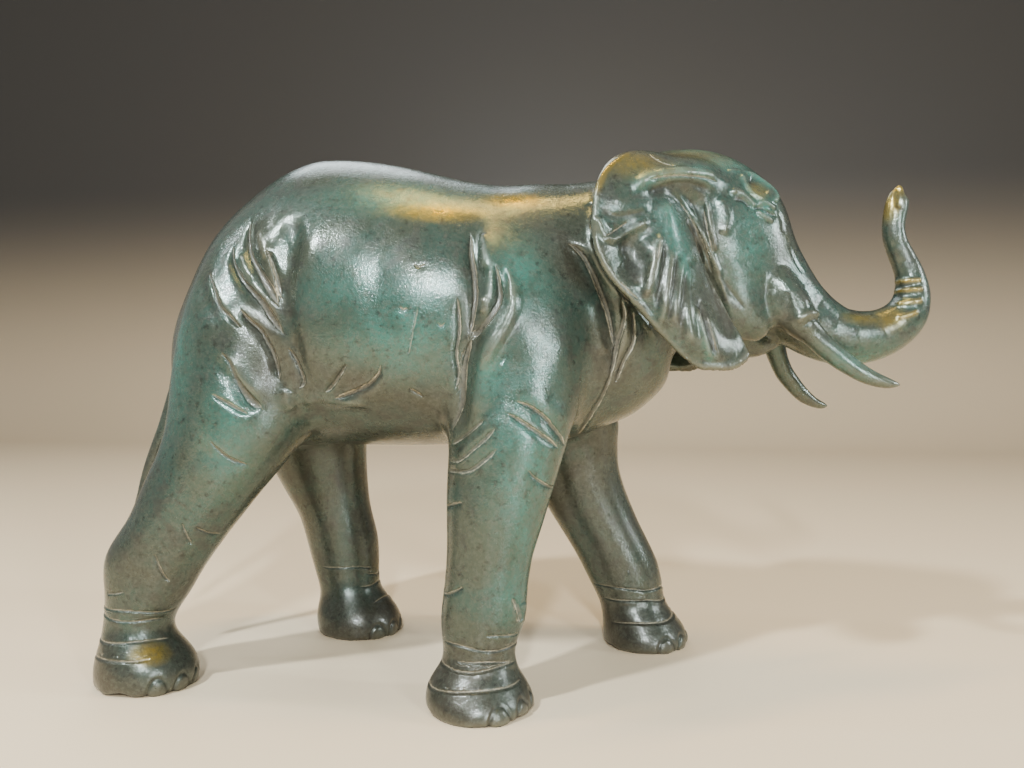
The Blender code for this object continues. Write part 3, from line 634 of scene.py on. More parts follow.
# %% Ear strokes
# Each stroke is its height or depth and its places, in the straight head
EAR_RIDGES = [
    (0.9, [(74.5, 160.1, 1.4), (80.8, 165.3, 1.8), (87.5, 167.2, 1.8), (97.7, 168, 1.8),
           (105, 167.4, 1.4)]),
    (1.5, [(84.6, 159, 2.6), (87, 154, 3.6), (89.6, 148.6, 3.8), (92, 142.6, 3.4),
           (93.6, 136.8, 2.0)]),
    (0.9, [(88.6, 161.8, 1.2), (93.7, 156.8, 1.6), (97.6, 150.4, 1.5), (101.8, 142.6, 1.2)]),
    (1.2, [(100.6, 144.8, .8), (103.9, 137.1, 1.0), (106.8, 128.8, 1.0), (109.6, 121.7, 1.0),
           (111, 114, .8)]),
    (0.8, [(63.4, 151.4, 1.2), (65.2, 147.2, 1.5), (67.6, 143.8, 1.2)]),
    (0.9, [(66.8, 143.4, 1.0), (70.6, 145.8, 1.4), (74.7, 148.3, 1.5), (80, 151, 1.2)]),
    (1.4, [(83.4, 147.6, 1.0), (82.4, 142, 1.5), (81.0, 136.6, 1.7), (79.4, 131, 1.4),
           (78.2, 126.4, 1.0)]),
    (0.9, [(86.9, 142.5, 1.0), (86.1, 136, 1.5), (85.0, 130, 1.7), (83.8, 123.6, 1.5),
           (83.0, 117.8, 1.0)]),
    (0.7, [(90.6, 139.5, 1.0), (88.8, 132.6, 1.5), (87.6, 126.6, 1.6), (86.2, 119, 1.2)]),
    (0.5, [(92.6, 137, 1.0), (91.8, 129, 1.6), (91.4, 121, 1.6), (92.4, 112, 1.2)]),
    (0.8, [(94.0, 124.6, .7), (95.4, 118.6, .9), (96.8, 113.4, .9), (98.4, 108.8, .8)]),
    (0.9, [(94, 107.6, .9), (99, 106.2, 1.1), (104.6, 106.6, 1.1), (109, 109, 1.0),
           (110.4, 112.6, .8)]),
    (0.5, [(68, 157.4, 1.6), (72, 155.8, 2.4), (77, 155.4, 2.4), (81, 156.4, 1.6)]),
]
EAR_GROOVES = [
    (1.1, [(79.4, 159.6, 1.0), (85, 161.9, 1.5), (90.5, 163.4, 1.6), (96, 163.7, 1.5),
           (101.5, 162.8, 1.0)]),
    (0.8, [(92.6, 154.4, .8), (95.4, 149, 1.0), (97.6, 143.4, 1.1), (98.2, 138, .8)]),
    (1.0, [(70.0, 142.0, 1.8), (74.4, 141.4, 4.0), (76.0, 136.2, 4.6), (75.0, 130.4, 2.8)]),
    (0.8, [(84.8, 145, .7), (84.2, 138.6, .9), (82.8, 130.6, .9), (81.4, 123, .8)]),
    (0.6, [(88.4, 141, .7), (87.4, 134, .9), (86.2, 127, .9), (84.9, 119, .8)]),
    (0.5, [(91.4, 136, .7), (90.2, 129, .9), (89.2, 121, .9), (89.2, 114, .8)]),
    (0.9, [(95.0, 127, .7), (96.6, 120.6, 1.1), (98.2, 114.4, 1.1), (99.8, 109.4, .7)]),
    (0.9, [(98.6, 140, 1.4), (101.4, 131, 2.4), (103.8, 122.4, 2.6), (105.6, 114.6, 1.6)]),
    (0.35, [(64.8, 153.8, .6), (69, 151.6, .8), (74, 152.4, .8), (79, 153.8, .6)]),
]
EAR_CUTS = [
    (0.4, [(79.6, 163.6, .2), (84.7, 165.0, .3), (90.3, 165.9, .3), (98.8, 166.4, .3),
           (103.9, 165.6, .2)]),
    (0.4, [(90.4, 158.6, .2), (94.6, 153.4, .3), (97.6, 148, .4), (100.4, 141.4, .4),
           (102.3, 136, .2)]),
    (0.35, [(80.6, 174, .2), (84, 171, .3), (89.5, 169.4, .2)]),
    (0.35, [(83.0, 144.6, .2), (82.5, 141.8, .3), (81.9, 138.6, .2)]),
    (0.3, [(66.4, 145.2, .2), (69.6, 147.6, .3), (73, 150, .2)]),
    (0.3, [(97.2, 121.4, .2), (98.6, 116.0, .3), (100.0, 110.6, .2)]),
    (0.25, [(70.6, 131.6, .2), (73.2, 128.8, .3), (76.2, 126.4, .2)]),
]
EAR_RIM = [(92, 176.4), (84, 176.2), (76, 174), (70.5, 170), (66, 165), (63.4, 158), (62.6, 150),
           (63.4, 143), (66, 136.6), (70, 131.4), (75, 127), (79.5, 121.5), (84.5, 115.5),
           (90, 110), (96, 106), (103, 105.6), (109, 108.4), (110.6, 113), (109.4, 120.5),
           (107, 128.5), (103.6, 137), (99, 146.5)]
RIM_HEIGHT = 0.55
print("each ear:", len(EAR_RIDGES), "ridges,", len(EAR_GROOVES), "grooves and", len(EAR_CUTS), "cuts")


# %% Carve both ears
def ear_face(head, normals, side):
    """1 on the outer face of one ear."""
    x, y, z = head.T
    out = y * side
    region = ramp(x, 58, 60) * ramp(x, 114, 112) * ramp(z, 102, 104)
    clear = np.where(z > 160, ramp(out, 12, 14), ramp(out, 20, 23))
    return region * clear * ramp(normals[:, 1] * side, 0.0, 0.25)


points, normals, shift = start_carving()
head = straight_head(points)
head_view = head[:, [0, 2]]
rim = [(x, z, 1.0) for x, z in EAR_RIM]
for side in (RIGHT, LEFT):
    face = ear_face(head, normals, side)
    for height, stations in EAR_RIDGES:
        raise_ridge(shift, head_view, face, stations, height)
    for depth, stations in EAR_GROOVES:
        raise_ridge(shift, head_view, face, stations, -depth)
    for depth, stations in EAR_CUTS:
        press(shift, head_view, face, stations, depth)
    raise_ridge(shift, head_view, face, rim, RIM_HEIGHT)
finish_carving(points, normals, shift)
print("ears: deepest", round(-shift.min(), 2), "highest", round(shift.max(), 2), "mm")

# %% [markdown]
# ## Face, tusk sockets and trunk
#
# The eye is small and sits under the brow: a ball with a heavy upper lid.  A teardrop hollow
# marks the temple above it.  Each tusk grows from a sheath that ends in a ring, and the
# trunk carries bands across the bend where the skin bunches.

# %% Face strokes
FACE_RIDGES = [
    (1.0, [(107.8, 162.2, .8), (109.6, 163.4, 1.1), (111.8, 162.8, 1.2), (114.9, 159.8, 1.1),
           (116.8, 158.0, .8)]),
    (0.8, [(117.2, 159.5, .7), (119.4, 160.1, .8), (121.4, 159.6, .8), (124, 158.2, .7)]),
    (0.8, [(116.6, 157, .6), (118, 156.2, .8), (119.8, 155.1, .9), (122.8, 153.8, .7)]),
    (0.8, [(99.9, 160, .8), (100.7, 153.6, .9), (101.7, 148, .9), (103, 143, .7)]),
    (0.9, [(103.2, 160.8, 1.2), (105.6, 158.2, 2.0), (106.4, 153.8, 2.0), (104.6, 148.4, 1.2)]),
    (0.5, [(121.6, 132, 1.2), (122.6, 127, 1.6), (124, 121.9, 1.6), (124.6, 117.4, 1.2)]),
    (0.5, [(125, 140, 1.8), (127.6, 134.6, 2.4), (131, 129.8, 2.4), (134.1, 126.2, 1.6)]),
    (0.7, [(108.1, 170.3, .9), (110.6, 170.9, 1.0), (113.1, 170.7, .8)]),
    (0.8, [(113.1, 170.7, .7), (113.2, 168, .8), (114, 165.3, .8), (116.2, 162.6, .8),
           (120.3, 160.9, .7)]),
    (0.7, [(113.4, 171, .7), (117.6, 170.3, .8), (121.6, 167.5, .8), (125.2, 164.6, .8),
           (124.6, 161.8, .7), (121.6, 160.9, .6)]),
]
FACE_GROOVES = [
    (0.8, [(115.4, 158.2, .4), (118.0, 158.0, .5), (121.2, 157, .5), (124.4, 155.8, .4)]),
    (1.0, [(115.2, 168.6, 1.3), (118.2, 166.4, 1.9), (121.8, 163.8, 1.5)]),
    (0.6, [(109.4, 160.6, .7), (112.4, 160.2, .9), (114.6, 157.8, .7)]),
    (0.4, [(125.0, 158, .6), (126.6, 154.4, 1.0), (126.8, 150.4, .8)]),
    (0.3, [(126.8, 131, .9), (127.0, 126, 1.1), (126.8, 121, .9)]),
    (0.4, [(113, 152, 3.0), (114.6, 144, 4.0), (111.4, 138, 3.4)]),
    (0.25, [(129, 146.6, .5), (131.4, 142, .7), (134.4, 137.4, .5)]),
    (0.3, [(103.5, 137.5, .5), (108, 131, .7), (113, 125, .5)]),
]
FACE_CUTS = [
    (0.3, [(98.6, 159.6, .2), (99.4, 153.6, .3), (100.4, 148, .3), (101.8, 142.4, .2)]),
]
TUSK_RING = [(129.3, 120.9, .9), (132.3, 123.2, 1.0), (135.6, 123.9, 1.0), (138.6, 123.2, .8)]
TUSK_RING_SHADOW = [(131.4, 119.2, .6), (134, 121.2, .6), (136.8, 121.8, .6), (139.8, 121, .5)]
EYE_CENTRE = (119.6, 157.7)
EYE_HALF = (2.1, 0.9)
EYE_BULGE = 0.4
CHEEK = (109, 147, 9, 14, 0.6)     # as a row of SWELLS
print("each side of the face:", len(FACE_RIDGES), "ridges and", len(FACE_GROOVES), "grooves")

# %% Carve the face
points, normals, shift = start_carving()
head = straight_head(points)
head_view = head[:, [0, 2]]
for side in (RIGHT, LEFT):
    face = ramp(normals[:, 1] * side, 0.05, 0.35) * (head[:, 1] * side > 4)
    face *= ramp(head[:, 0], 98, 100)
    under_ear = ramp(np.abs(head[:, 1]), 24.5, 26) * ramp(head[:, 0], 112, 111)
    face *= 1 - under_ear
    for height, stations in FACE_RIDGES:
        raise_ridge(shift, head_view, face, stations, height)
    for depth, stations in FACE_GROOVES:
        raise_ridge(shift, head_view, face, stations, -depth)
    for depth, stations in FACE_CUTS:
        press(shift, head_view, face, stations, depth)
    x, z, half_length, half_height, height = CHEEK
    reach = np.hypot((head[:, 0] - x) / half_length, (head[:, 2] - z) / half_height)
    shift += height * np.exp(-reach ** 2) * face
    raise_ridge(shift, head_view, face, TUSK_RING, 0.8)
    raise_ridge(shift, head_view, face, TUSK_RING_SHADOW, -0.4)
    across = (head_view[:, 0] - EYE_CENTRE[0]) / EYE_HALF[0]
    up = (head_view[:, 1] - EYE_CENTRE[1]) / EYE_HALF[1]
    shift += EYE_BULGE * np.sqrt(np.clip(1 - across ** 2 - up ** 2, 0, 1)) * face
finish_carving(points, normals, shift)
print("face carved, deepest", round(-shift.min(), 2), "mm")

# %% Bands across the trunk
TRUNK_BANDS = [
    (0.7, [(168.6, 135.8, .8), (172.4, 136.0, .8), (176.4, 136.2, .8)]),
    (0.7, [(168.4, 132.5, .8), (172.6, 132.8, .8), (176.8, 133.1, .8)]),
    (0.75, [(167.6, 128.0, 1.0), (172.4, 128.6, 1.1), (176.4, 129.3, 1.0)]),
    (0.7, [(166.6, 123.0, .9), (170.9, 124.1, 1.0), (174.6, 125.4, .9)]),
]
TRUNK_CUTS = [
    (0.15, [(136.6, 136, .5), (133, 130, .6), (129.4, 124.6, .4)]),
    (0.15, [(142, 131, .5), (138.4, 125.4, .6), (135.4, 119.6, .4)]),
    (0.12, [(148, 127.4, .5), (146.4, 121, .6), (144.6, 112.6, .4)]),
    (0.12, [(153.6, 126.2, .5), (153.8, 119.6, .6), (154.4, 110, .4)]),
    (0.12, [(160, 127, .5), (162, 120.8, .6), (164.8, 113.6, .4)]),
    (0.12, [(167.6, 141.4, .5), (172, 143, .6), (176, 144.4, .4)]),
    (0.12, [(165, 146.6, .5), (169, 148.4, .6), (173.4, 150.4, .4)]),
]
NOSTRIL = [(169.9, 168.6, .9), (169.4, 164.8, 1.1), (168.9, 160.6, .9)]
points, normals, shift = start_carving()
head = straight_head(points)
head_view = head[:, [0, 2]]
on_trunk = ramp(head[:, 0], 127, 131) * (np.abs(head[:, 1]) < 14)
near_side = on_trunk * ramp(normals[:, 1] * RIGHT, -0.1, 0.25)
for height, stations in TRUNK_BANDS:
    raise_ridge(shift, head_view, near_side, stations, height)
for depth, stations in TRUNK_CUTS:
    raise_ridge(shift, head_view, on_trunk, stations, -depth)
raise_ridge(shift, head_view, on_trunk, NOSTRIL, -0.9)
finish_carving(points, normals, shift)
print("trunk:", len(TRUNK_BANDS), "bands,", len(TRUNK_CUTS), "light cuts")

# %% [markdown]
# ## Feet
#
# Round every ankle the skin bunches into rings, and each foot carries a row of blunt nails.
# A ring is a crease that runs round an upright axis, so it is given by its height and its
# tilt.  A nail is a small arch: an oval groove with a slightly raised middle.

# %% Foot places
# Name: x and y of the foot's middle, x and y half sizes, and its rings as
# (height, tilt towards the toes, middle angle, half span, half width, depth)
FEET = {
    "right_fore": ((31.9, -38.8), (17.5, 16), [
        (20.5, -0.8, -60, 110, .35, .5), (16.4, -0.6, -70, 60, .35, .4),
        (14.2, 0.5, -90, 100, .35, .5), (8.9, 0.8, -90, 90, .35, .45),
        (24.6, -0.8, -35, 40, .35, .4)]),
    "left_fore": ((83.8, 34.2), (16, 15.5), [
        (22.4, -0.6, -60, 120, .45, .6), (18.0, -0.6, -50, 120, .4, .5),
        (10.4, 0.8, -40, 110, .4, .5), (13.6, 0, 60, 60, .4, .4)]),
    "right_hind": ((-83.5, -34.3), (17.5, 16), [
        (26.6, -0.8, -90, 100, .35, .5), (23.6, -0.8, -95, 80, .35, .45),
        (16.5, -0.2, -95, 90, .35, .45), (11.6, 0.8, -110, 60, .35, .4)]),
    "left_hind": ((-30.8, 33.7), (17, 15.5), [
        (24, -0.8, 60, 130, .45, .5), (19.5, 0, 30, 120, .4, .4),
        (12.4, 1.0, 60, 120, .4, .5), (27, -0.4, -90, 60, .4, .4)]),
}
NAIL_ANGLES = {"fore": (-62, -30, 2, 34, 64), "hind": (-50, -20, 10, 42)}
NAIL_HALF_SPAN = 3.4     # along the foot
NAIL_HEIGHT = 5.6        # above the sole
FOOT_TOP = 46.0
RING_SHARE = 0.55        # of each ring's depth, after the wax is smoothed
RING_DUST = 0.32         # half width of the dust in a ring, mm
RING_WAVE = 0.35         # how far a ring wanders up and down, mm
print("ankle rings:", sum(len(rings) for _, _, rings in FEET.values()))


# %% Cut rings and nails
def ring_place(around, heights, ring):
    """How far each point lies above a ring, and how strong the ring is at that angle."""
    height, tilt, middle, half_span, _, _ = ring
    turn = np.abs((around - middle + 180) % 360 - 180)
    level = height + tilt * np.cos(np.radians(around))
    level = level + RING_WAVE * np.sin(np.radians(3 * around + 40 * height))
    return heights - level, ramp(turn, half_span, half_span * 0.7)


def foot_ring(shift, around, heights, mask, ring):
    """Press one ring round an ankle; angles in degrees, 0 towards the toes."""
    off, fade = ring_place(around, heights, ring)
    width, depth = ring[4], RING_SHARE * ring[5]
    shift += mask * fade * (-depth * np.exp(-(off / width) ** 2)
                            + 0.5 * depth * np.exp(-((off + 1.9 * width) / (1.6 * width)) ** 2))


def toe_nail(shift, around, heights, mask, angle, radius):
    """Press the outline of one nail and raise its middle."""
    across = np.radians((around - angle + 180) % 360 - 180) * radius / NAIL_HALF_SPAN
    up = heights / NAIL_HEIGHT
    oval = np.hypot(across, up)
    facing = np.abs(across) < 2
    shift += mask * facing * (-0.5 * np.exp(-((oval - 1) / 0.13) ** 2)
                              + 0.45 * np.clip(1 - oval ** 2, 0, 1))


points, normals, shift = start_carving()
for name, ((foot_x, foot_y), (half_x, half_y), rings) in FEET.items():
    dx, dy = points[:, 0] - foot_x, points[:, 1] - foot_y
    around = np.degrees(np.arctan2(dy / half_y, dx / half_x))
    near = (np.hypot(dx / half_x, dy / half_y) < 1.9) & (points[:, 2] < FOOT_TOP)
    mask = near * ramp(np.hypot(normals[:, 0], normals[:, 1]), 0.2, 0.5)
    for ring in rings:
        foot_ring(shift, around, points[:, 2], mask, ring)
    for angle in NAIL_ANGLES[name.split("_")[1]]:
        toe_nail(shift, around, points[:, 2], mask, angle, (half_x + half_y) / 2)
finish_carving(points, normals, shift)
print("feet:", len(FEET), "with rings and nails")

# %% [markdown]
# ## Hollows and high places
#
# Dirt stays in the hollows of a bronze and hands polish its high places.  Both can be read
# from the shape itself: where the skin lies below a smoothed copy of itself there is a
# hollow, and where it stands above there is a high place.  It is measured now, while the
# skin is even, and kept as a map that the thinning carries along.


# %% Measure the relief
def neighbours_mean(values, ends, counts):
    """The mean of each point's neighbours."""
    out = np.zeros_like(values)
    a, b = ends
    for axis in range(values.shape[1]):
        out[:, axis] = (np.bincount(a, values[b, axis], len(values))
                        + np.bincount(b, values[a, axis], len(values)))
    return out / counts[:, None]


def keep_map(name, values):
    """Store a map on the skin's points for the material."""
    attribute = elephant.data.attributes.new(name, "FLOAT", "POINT")
    attribute.data.foreach_set("value", values.astype(np.float32))
    print(f"{name}: mean {values.mean():.3f}, highest {values.max():.2f}")


RELIEF_ROUNDS = 26       # how widely the copy is smoothed

points = skin_points()
normals = skin_normals()
edge_ends = np.empty(len(elephant.data.edges) * 2, dtype=np.int32)
elephant.data.edges.foreach_get("vertices", edge_ends)
edge_ends = edge_ends.reshape(-1, 2).T
neighbour_counts = np.bincount(edge_ends.ravel(), minlength=len(points)).astype(float)
relaxed = points.copy()
for _ in range(RELIEF_ROUNDS):
    relaxed = 0.3 * relaxed + 0.7 * neighbours_mean(relaxed, edge_ends, neighbour_counts)
relief = ((points - relaxed) * normals).sum(axis=1)
keep_map("hollow", ramp(relief, -0.06, -0.42))
keep_map("rub", ramp(relief, 0.10, 0.55))

# %% [markdown]
# ## Thin the skin and set the soles down
#
# The carved skin has more points than the model needs where it is smooth.  The Decimate
# modifier removes points where the surface is flattest, so the creases keep theirs.  Then
# the soles are pressed flat on the table, as they are on the casting.

# %% Thin and level
MOST_TRIANGLES = 194000
THINNING_CARE = 1e-7     # how dearly the worked places are kept
LEAST_THINNING = 0.02    # and the weight of their most worked points
SOLE_PLAY = 0.35         # mm above the table that still counts as sole

elephant.data.calc_loop_triangles()
before = len(elephant.data.loop_triangles)
group_name = weigh_skin("thin", 1 - worked, LEAST_THINNING)
apply_modifier(elephant, "DECIMATE", ratio=MOST_TRIANGLES / before, use_collapse_triangulate=True,
               vertex_group=group_name, vertex_group_factor=THINNING_CARE)
elephant.vertex_groups.clear()
points = skin_points()
normals = skin_normals()
sole = (points[:, 2] < SOLE_PLAY) & (normals[:, 2] < -0.5)
points[sole, 2] = 0
points[:, 2] = np.maximum(points[:, 2], 0)
move_skin(points)
print("triangles:", before, "to", len(elephant.data.polygons))

# %% [markdown]
# ## Where each colour lies
#
# Patina isn't even.  Waxy green covers the barrel, bright verdigris gathers where water
# sat, brown stays low on the legs and deep in the folds, and hands rub the high places back
# to gold.  The gold map also holds a painted warm highlight on the back and the right hind
# foot, where the overhead lamp glints.  Each of these is painted as a map of numbers on the
# skin's points, from the same places that were carved, and the material reads them by name.


# %% Paint helpers
def daub(points, centre, half_sizes):
    """A soft patch of paint: 1 in the middle of an egg shape, 0 outside it."""
    reach = (points - np.array(centre)) / np.array(half_sizes)
    return np.clip(1.25 - np.linalg.norm(reach, axis=1), 0, 1) ** 1.2


def brush(flat, mask, stations, spread=1.0):
    """A soft line of paint along a stroke."""
    widest = max(row[2] for row in stations) * spread
    near, off, _, along, width = stroke_field(flat, stations, 3 * widest + 1)
    paint = np.zeros(len(flat))
    paint[near] = np.exp(-(off / (width * spread)) ** 2) * fade_ends(along) * mask[near]
    return paint


# %% Read the thinned skin
points = skin_points()
normals = skin_normals()
side_view = points[:, [0, 2]]
head = straight_head(points)
head_view = head[:, [0, 2]]
right_face = facing_side(points, normals, RIGHT) * ramp(points[:, 0], 84, 78)
left_face = facing_side(points, normals, LEFT) * ramp(points[:, 0], 92, 86)
everywhere = np.ones(len(points))
print("points to paint:", len(points))


# %% The nearest cut
def measure_cuts(strokes):
    """For each point, the nearest cut: how far to its roll's side, how far off in all, and
    its half width there, in millimetres."""
    aside = np.full(len(points), 9.0)
    gap = np.full(len(points), 9.0)
    half = np.zeros(len(points))
    for flat, mask, roll_side, stations in strokes:
        widest = max(row[2] for row in stations)
        near, off, side, along, width = stroke_field(flat, stations, 3 * widest + 2)
        width = width * fade_ends(along, 4) ** 0.7
        closer = (mask[near] > 0.3) & (off - width < gap[near] - half[near])
        chosen = near[closer]
        aside[chosen] = (off * side * roll_side)[closer]
        gap[chosen] = off[closer]
        half[chosen] = width[closer]
    for (foot_x, foot_y), (half_x, half_y), rings in FEET.values():
        dx, dy = (points[:, 0] - foot_x) / half_x, (points[:, 1] - foot_y) / half_y
        around = np.degrees(np.arctan2(dy, dx))
        near = (np.hypot(dx, dy) < 1.9) & (points[:, 2] < FOOT_TOP)
        for ring in rings:
            off, fade = ring_place(around, points[:, 2], ring)
            width = RING_DUST * fade
            closer = near & (fade > 0.05) & (np.abs(off) - width < gap - half)
            aside[closer], gap[closer], half[closer] = off[closer], np.abs(off)[closer], width[closer]
    return aside, gap, half


ear_out = ear_face(head, normals, RIGHT) + ear_face(head, normals, LEFT)
face_out = ramp(head[:, 0], 98, 100) * ramp(np.abs(normals[:, 1]), 0.05, 0.35)
cut_strokes = [(side_view, right_face, roll_side, line) for _, _, roll_side, line in RIGHT_SIDE]
cut_strokes += [(side_view, left_face, roll_side, line) for _, _, roll_side, line in LEFT_SIDE]
cut_strokes += [(head_view, ear_out, 1, line) for _, line in EAR_CUTS]
cut_strokes += [(head_view, face_out, 1, line) for _, line in FACE_CUTS]
for name, values in zip(("cut_aside", "cut_gap", "cut_half"), measure_cuts(cut_strokes)):
    keep_map(name, values)

# %% Verdigris
verdigris = np.zeros(len(points))
VERDIGRIS_DAUBS = [
    ((46, -40, 62), (9, 16, 34)), ((42, -40, 38), (8, 16, 12)), ((8, -44, 118), (26, 14, 18)),
    ((-10, -40, 130), (16, 14, 12)), ((-47, -45, 92), (12, 14, 12)), ((36, -44, 104), (9, 12, 12)),
    ((0, -30, 160), (30, 20, 8)), ((-70, -40, 110), (12, 18, 30)), ((116, -16, 146), (9, 10, 14)),
    ((112, -12, 174), (16, 18, 5)), ((120, -14, 158), (8, 9, 7)), ((156, 4, 110), (16, 9, 9)),
    ((148, -10, 108), (18, 9, 8)), ((6, 44, 118), (26, 14, 20)), ((-60, 42, 112), (14, 16, 26)),
    ((46, -40, 136), (14, 14, 16)), ((46, -44, 80), (16, 18, 34)), ((-50, -42, 84), (12, 12, 22)),
    ((60, 38, 78), (14, 16, 26)), ((116, 24, 146), (9, 10, 14)), ((100, 0, 180), (16, 18, 4)),
]
for centre, half_sizes in VERDIGRIS_DAUBS:
    verdigris = np.maximum(verdigris, daub(points, centre, half_sizes))
EAR_VERDIGRIS = [
    [(74, 160.4, 2.2), (80, 164, 2.6), (88, 166.6, 3.0), (96, 168, 3.0), (104, 167.6, 3.0)],
    [(84.6, 158, 3.4), (87, 152, 4.2), (88.8, 146, 4.0), (91, 139, 3.2), (92, 131, 2.0)],
    [(95, 121, 1.0), (97, 113, 1.4), (98.6, 107.5, 1.2)],
]
for stations in EAR_VERDIGRIS:
    verdigris = np.maximum(verdigris, 1.2 * brush(head_view, ear_out, stations))
face_side = (np.abs(head[:, 1]) > 4) * ramp(head[:, 0], 104, 108)
for _, stations in FACE_RIDGES[-2:]:
    verdigris = np.maximum(verdigris, 1.2 * brush(head_view, face_side, stations, 1.6))
keep_map("verdigris", verdigris)

# %% Brown
umber = ramp(points[:, 2], 30, 10)
umber = np.maximum(umber, 0.6 * ramp(points[:, 2], 92, 78) * ramp(np.abs(points[:, 1]), 34, 20))
UMBER_DAUBS = [
    ((-32, -42, 104), (16, 12, 16)), ((-36, -44, 122), (10, 10, 16)), ((-76, -38, 44), (16, 18, 26)),
    ((58, -32, 140), (14, 12, 16)), ((4, -40, 92), (30, 14, 9)), ((-8, -44, 100), (14, 12, 9)),
    ((30, -40, 120), (7, 12, 20)), ((72, -26, 112), (10, 12, 18)), ((-86, 0, 120), (14, 22, 30)),
    ((-34, 40, 104), (14, 12, 18)), ((-30, 38, 50), (16, 16, 30)), ((78, 36, 34), (18, 18, 26)),
    ((76, 0, 110), (14, 24, 14)), ((128, -18, 122), (5, 8, 9)),
]
for centre, half_sizes in UMBER_DAUBS:
    umber = np.maximum(umber, 0.9 * daub(points, centre, half_sizes))
for _, stations in EAR_GROOVES:
    umber = np.maximum(umber, 0.9 * brush(head_view, ear_out, stations, 1.5))
keep_map("umber", umber)

# %% Gold and painted warm highlight
gilt_and_warm_glint = np.zeros(len(points))
# Each daub's strength, middle and half sizes.  The three on the back are partly rubbed gold and
# partly a painted warm highlight of the overhead lamp; the one on the right hind foot is a painted
# warm highlight
GILT_AND_GLINT_DAUBS = [
    (1.0, (16, -34, 156), (17, 9, 3.6)), (1.0, (40, -24, 161.5), (10, 7, 4)),
    (1.0, (14, 30, 157), (17, 9, 4)), (0.45, (78, -34, 170), (18, 12, 7)),
    (0.45, (80, 40, 170), (18, 12, 7)), (0.30, (98, -12, 177), (16, 14, 6)),
    (0.5, (165, 2, 123), (6, 8, 5)), (0.9, (166, 8, 163), (4, 5, 7)),
    (0.9, (170, 8, 168), (4, 5, 3)), (0.45, (156, 0, 123), (9, 5, 2.5)),
    (0.7, (120, -15, 165), (4, 5, 4)), (0.8, (-76, -44, 13), (7, 6, 3.5)),
]
for strength, centre, half_sizes in GILT_AND_GLINT_DAUBS:
    gilt_and_warm_glint = np.maximum(gilt_and_warm_glint, strength * daub(points, centre, half_sizes))
for _, stations in TRUNK_BANDS:
    gilt_and_warm_glint = np.maximum(gilt_and_warm_glint, 0.7 * brush(head_view, everywhere, stations, 0.7) * (head[:, 0] > 160))
gilt_and_warm_glint = np.maximum(gilt_and_warm_glint, 0.8 * brush(head_view, ear_out, [(x, z, 1.0) for x, z in EAR_RIM[2:6]]))
# the map holds rubbed gold and the painted warm highlight on the back and a hind foot
keep_map("gilt_and_warm_glint", gilt_and_warm_glint)

# %% [markdown]
# ## Old bronze
#
# The finish is built as the founder builds it, from the metal outwards: bronze, brown
# oxide, the grey-green of a hot patina, bright verdigris, dust in the cuts, gold where it is
# rubbed and as a painted warm highlight on the back, and wax over all.  Noise of several sizes
# breaks every edge, since no layer is even.


# %% Node helpers
class Finish:
    """A material's nodes, with short calls to add and join them."""

    def __init__(self, name):
        self.material = bpy.data.materials.new(name)
        self.material.use_nodes = True
        self.tree = self.material.node_tree
        self.shader = self.tree.nodes["Principled BSDF"]
        self.place = self.tree.nodes.new("ShaderNodeTexCoord").outputs["Object"]

    def join(self, socket, value):
        """Feed a socket from another socket, or set it to a plain value."""
        if isinstance(value, bpy.types.NodeSocket):
            self.tree.links.new(value, socket)
        else:
            socket.default_value = value

    def noise(self, size, detail, roughness, distortion=0.0):
        """Noise whose blotches are about size millimetres across."""
        node = self.tree.nodes.new("ShaderNodeTexNoise")
        node.inputs["Scale"].default_value = 1 / (size * MM)
        node.inputs["Detail"].default_value = detail
        node.inputs["Roughness"].default_value = roughness
        node.inputs["Distortion"].default_value = distortion
        self.join(node.inputs["Vector"], self.place)
        return node.outputs["Fac"]

    def map(self, name):
        """One of the maps painted on the skin."""
        node = self.tree.nodes.new("ShaderNodeAttribute")
        node.attribute_name = name
        return node.outputs["Fac"]

    def math(self, kind, a, b=0.0, clamp=False):
        """One sum on two numbers."""
        node = self.tree.nodes.new("ShaderNodeMath")
        node.operation = kind
        node.use_clamp = clamp
        self.join(node.inputs[0], a)
        self.join(node.inputs[1], b)
        return node.outputs[0]

    def times(self, a, b, clamp=False):
        """One number times another."""
        return self.math("MULTIPLY", a, b, clamp)

    def plus(self, a, b, clamp=False):
        """One number and another."""
        return self.math("ADD", a, b, clamp)

    def minus(self, a, b, clamp=False):
        """One number less another."""
        return self.math("SUBTRACT", a, b, clamp)

    def size(self, a):
        """A number without its sign."""
        return self.math("ABSOLUTE", a)

    def spread(self, value, low, high, out_low=0.0, out_high=1.0):
        """Stretch the span from low to high over a new span, softly and clamped."""
        node = self.tree.nodes.new("ShaderNodeMapRange")
        node.interpolation_type = "SMOOTHSTEP"
        self.join(node.inputs["Value"], value)
        for name, number in (("From Min", low), ("From Max", high),
                             ("To Min", out_low), ("To Max", out_high)):
            self.join(node.inputs[name], number)
        return node.outputs["Result"]

    def mix(self, amount, under, over):
        """Lay one colour over another."""
        node = self.tree.nodes.new("ShaderNodeMix")
        node.data_type = "RGBA"
        self.join(node.inputs["Factor"], amount)
        self.join(node.inputs["A"], under)
        self.join(node.inputs["B"], over)
        return node.outputs["Result"]

    def bump(self, height, strength, distance, normal=None):
        """Raise the surface by a height map; distance in millimetres."""
        node = self.tree.nodes.new("ShaderNodeBump")
        node.inputs["Strength"].default_value = strength
        node.inputs["Distance"].default_value = distance * MM
        self.join(node.inputs["Height"], height)
        if normal is not None:
            self.join(node.inputs["Normal"], normal)
        return node.outputs["Normal"]


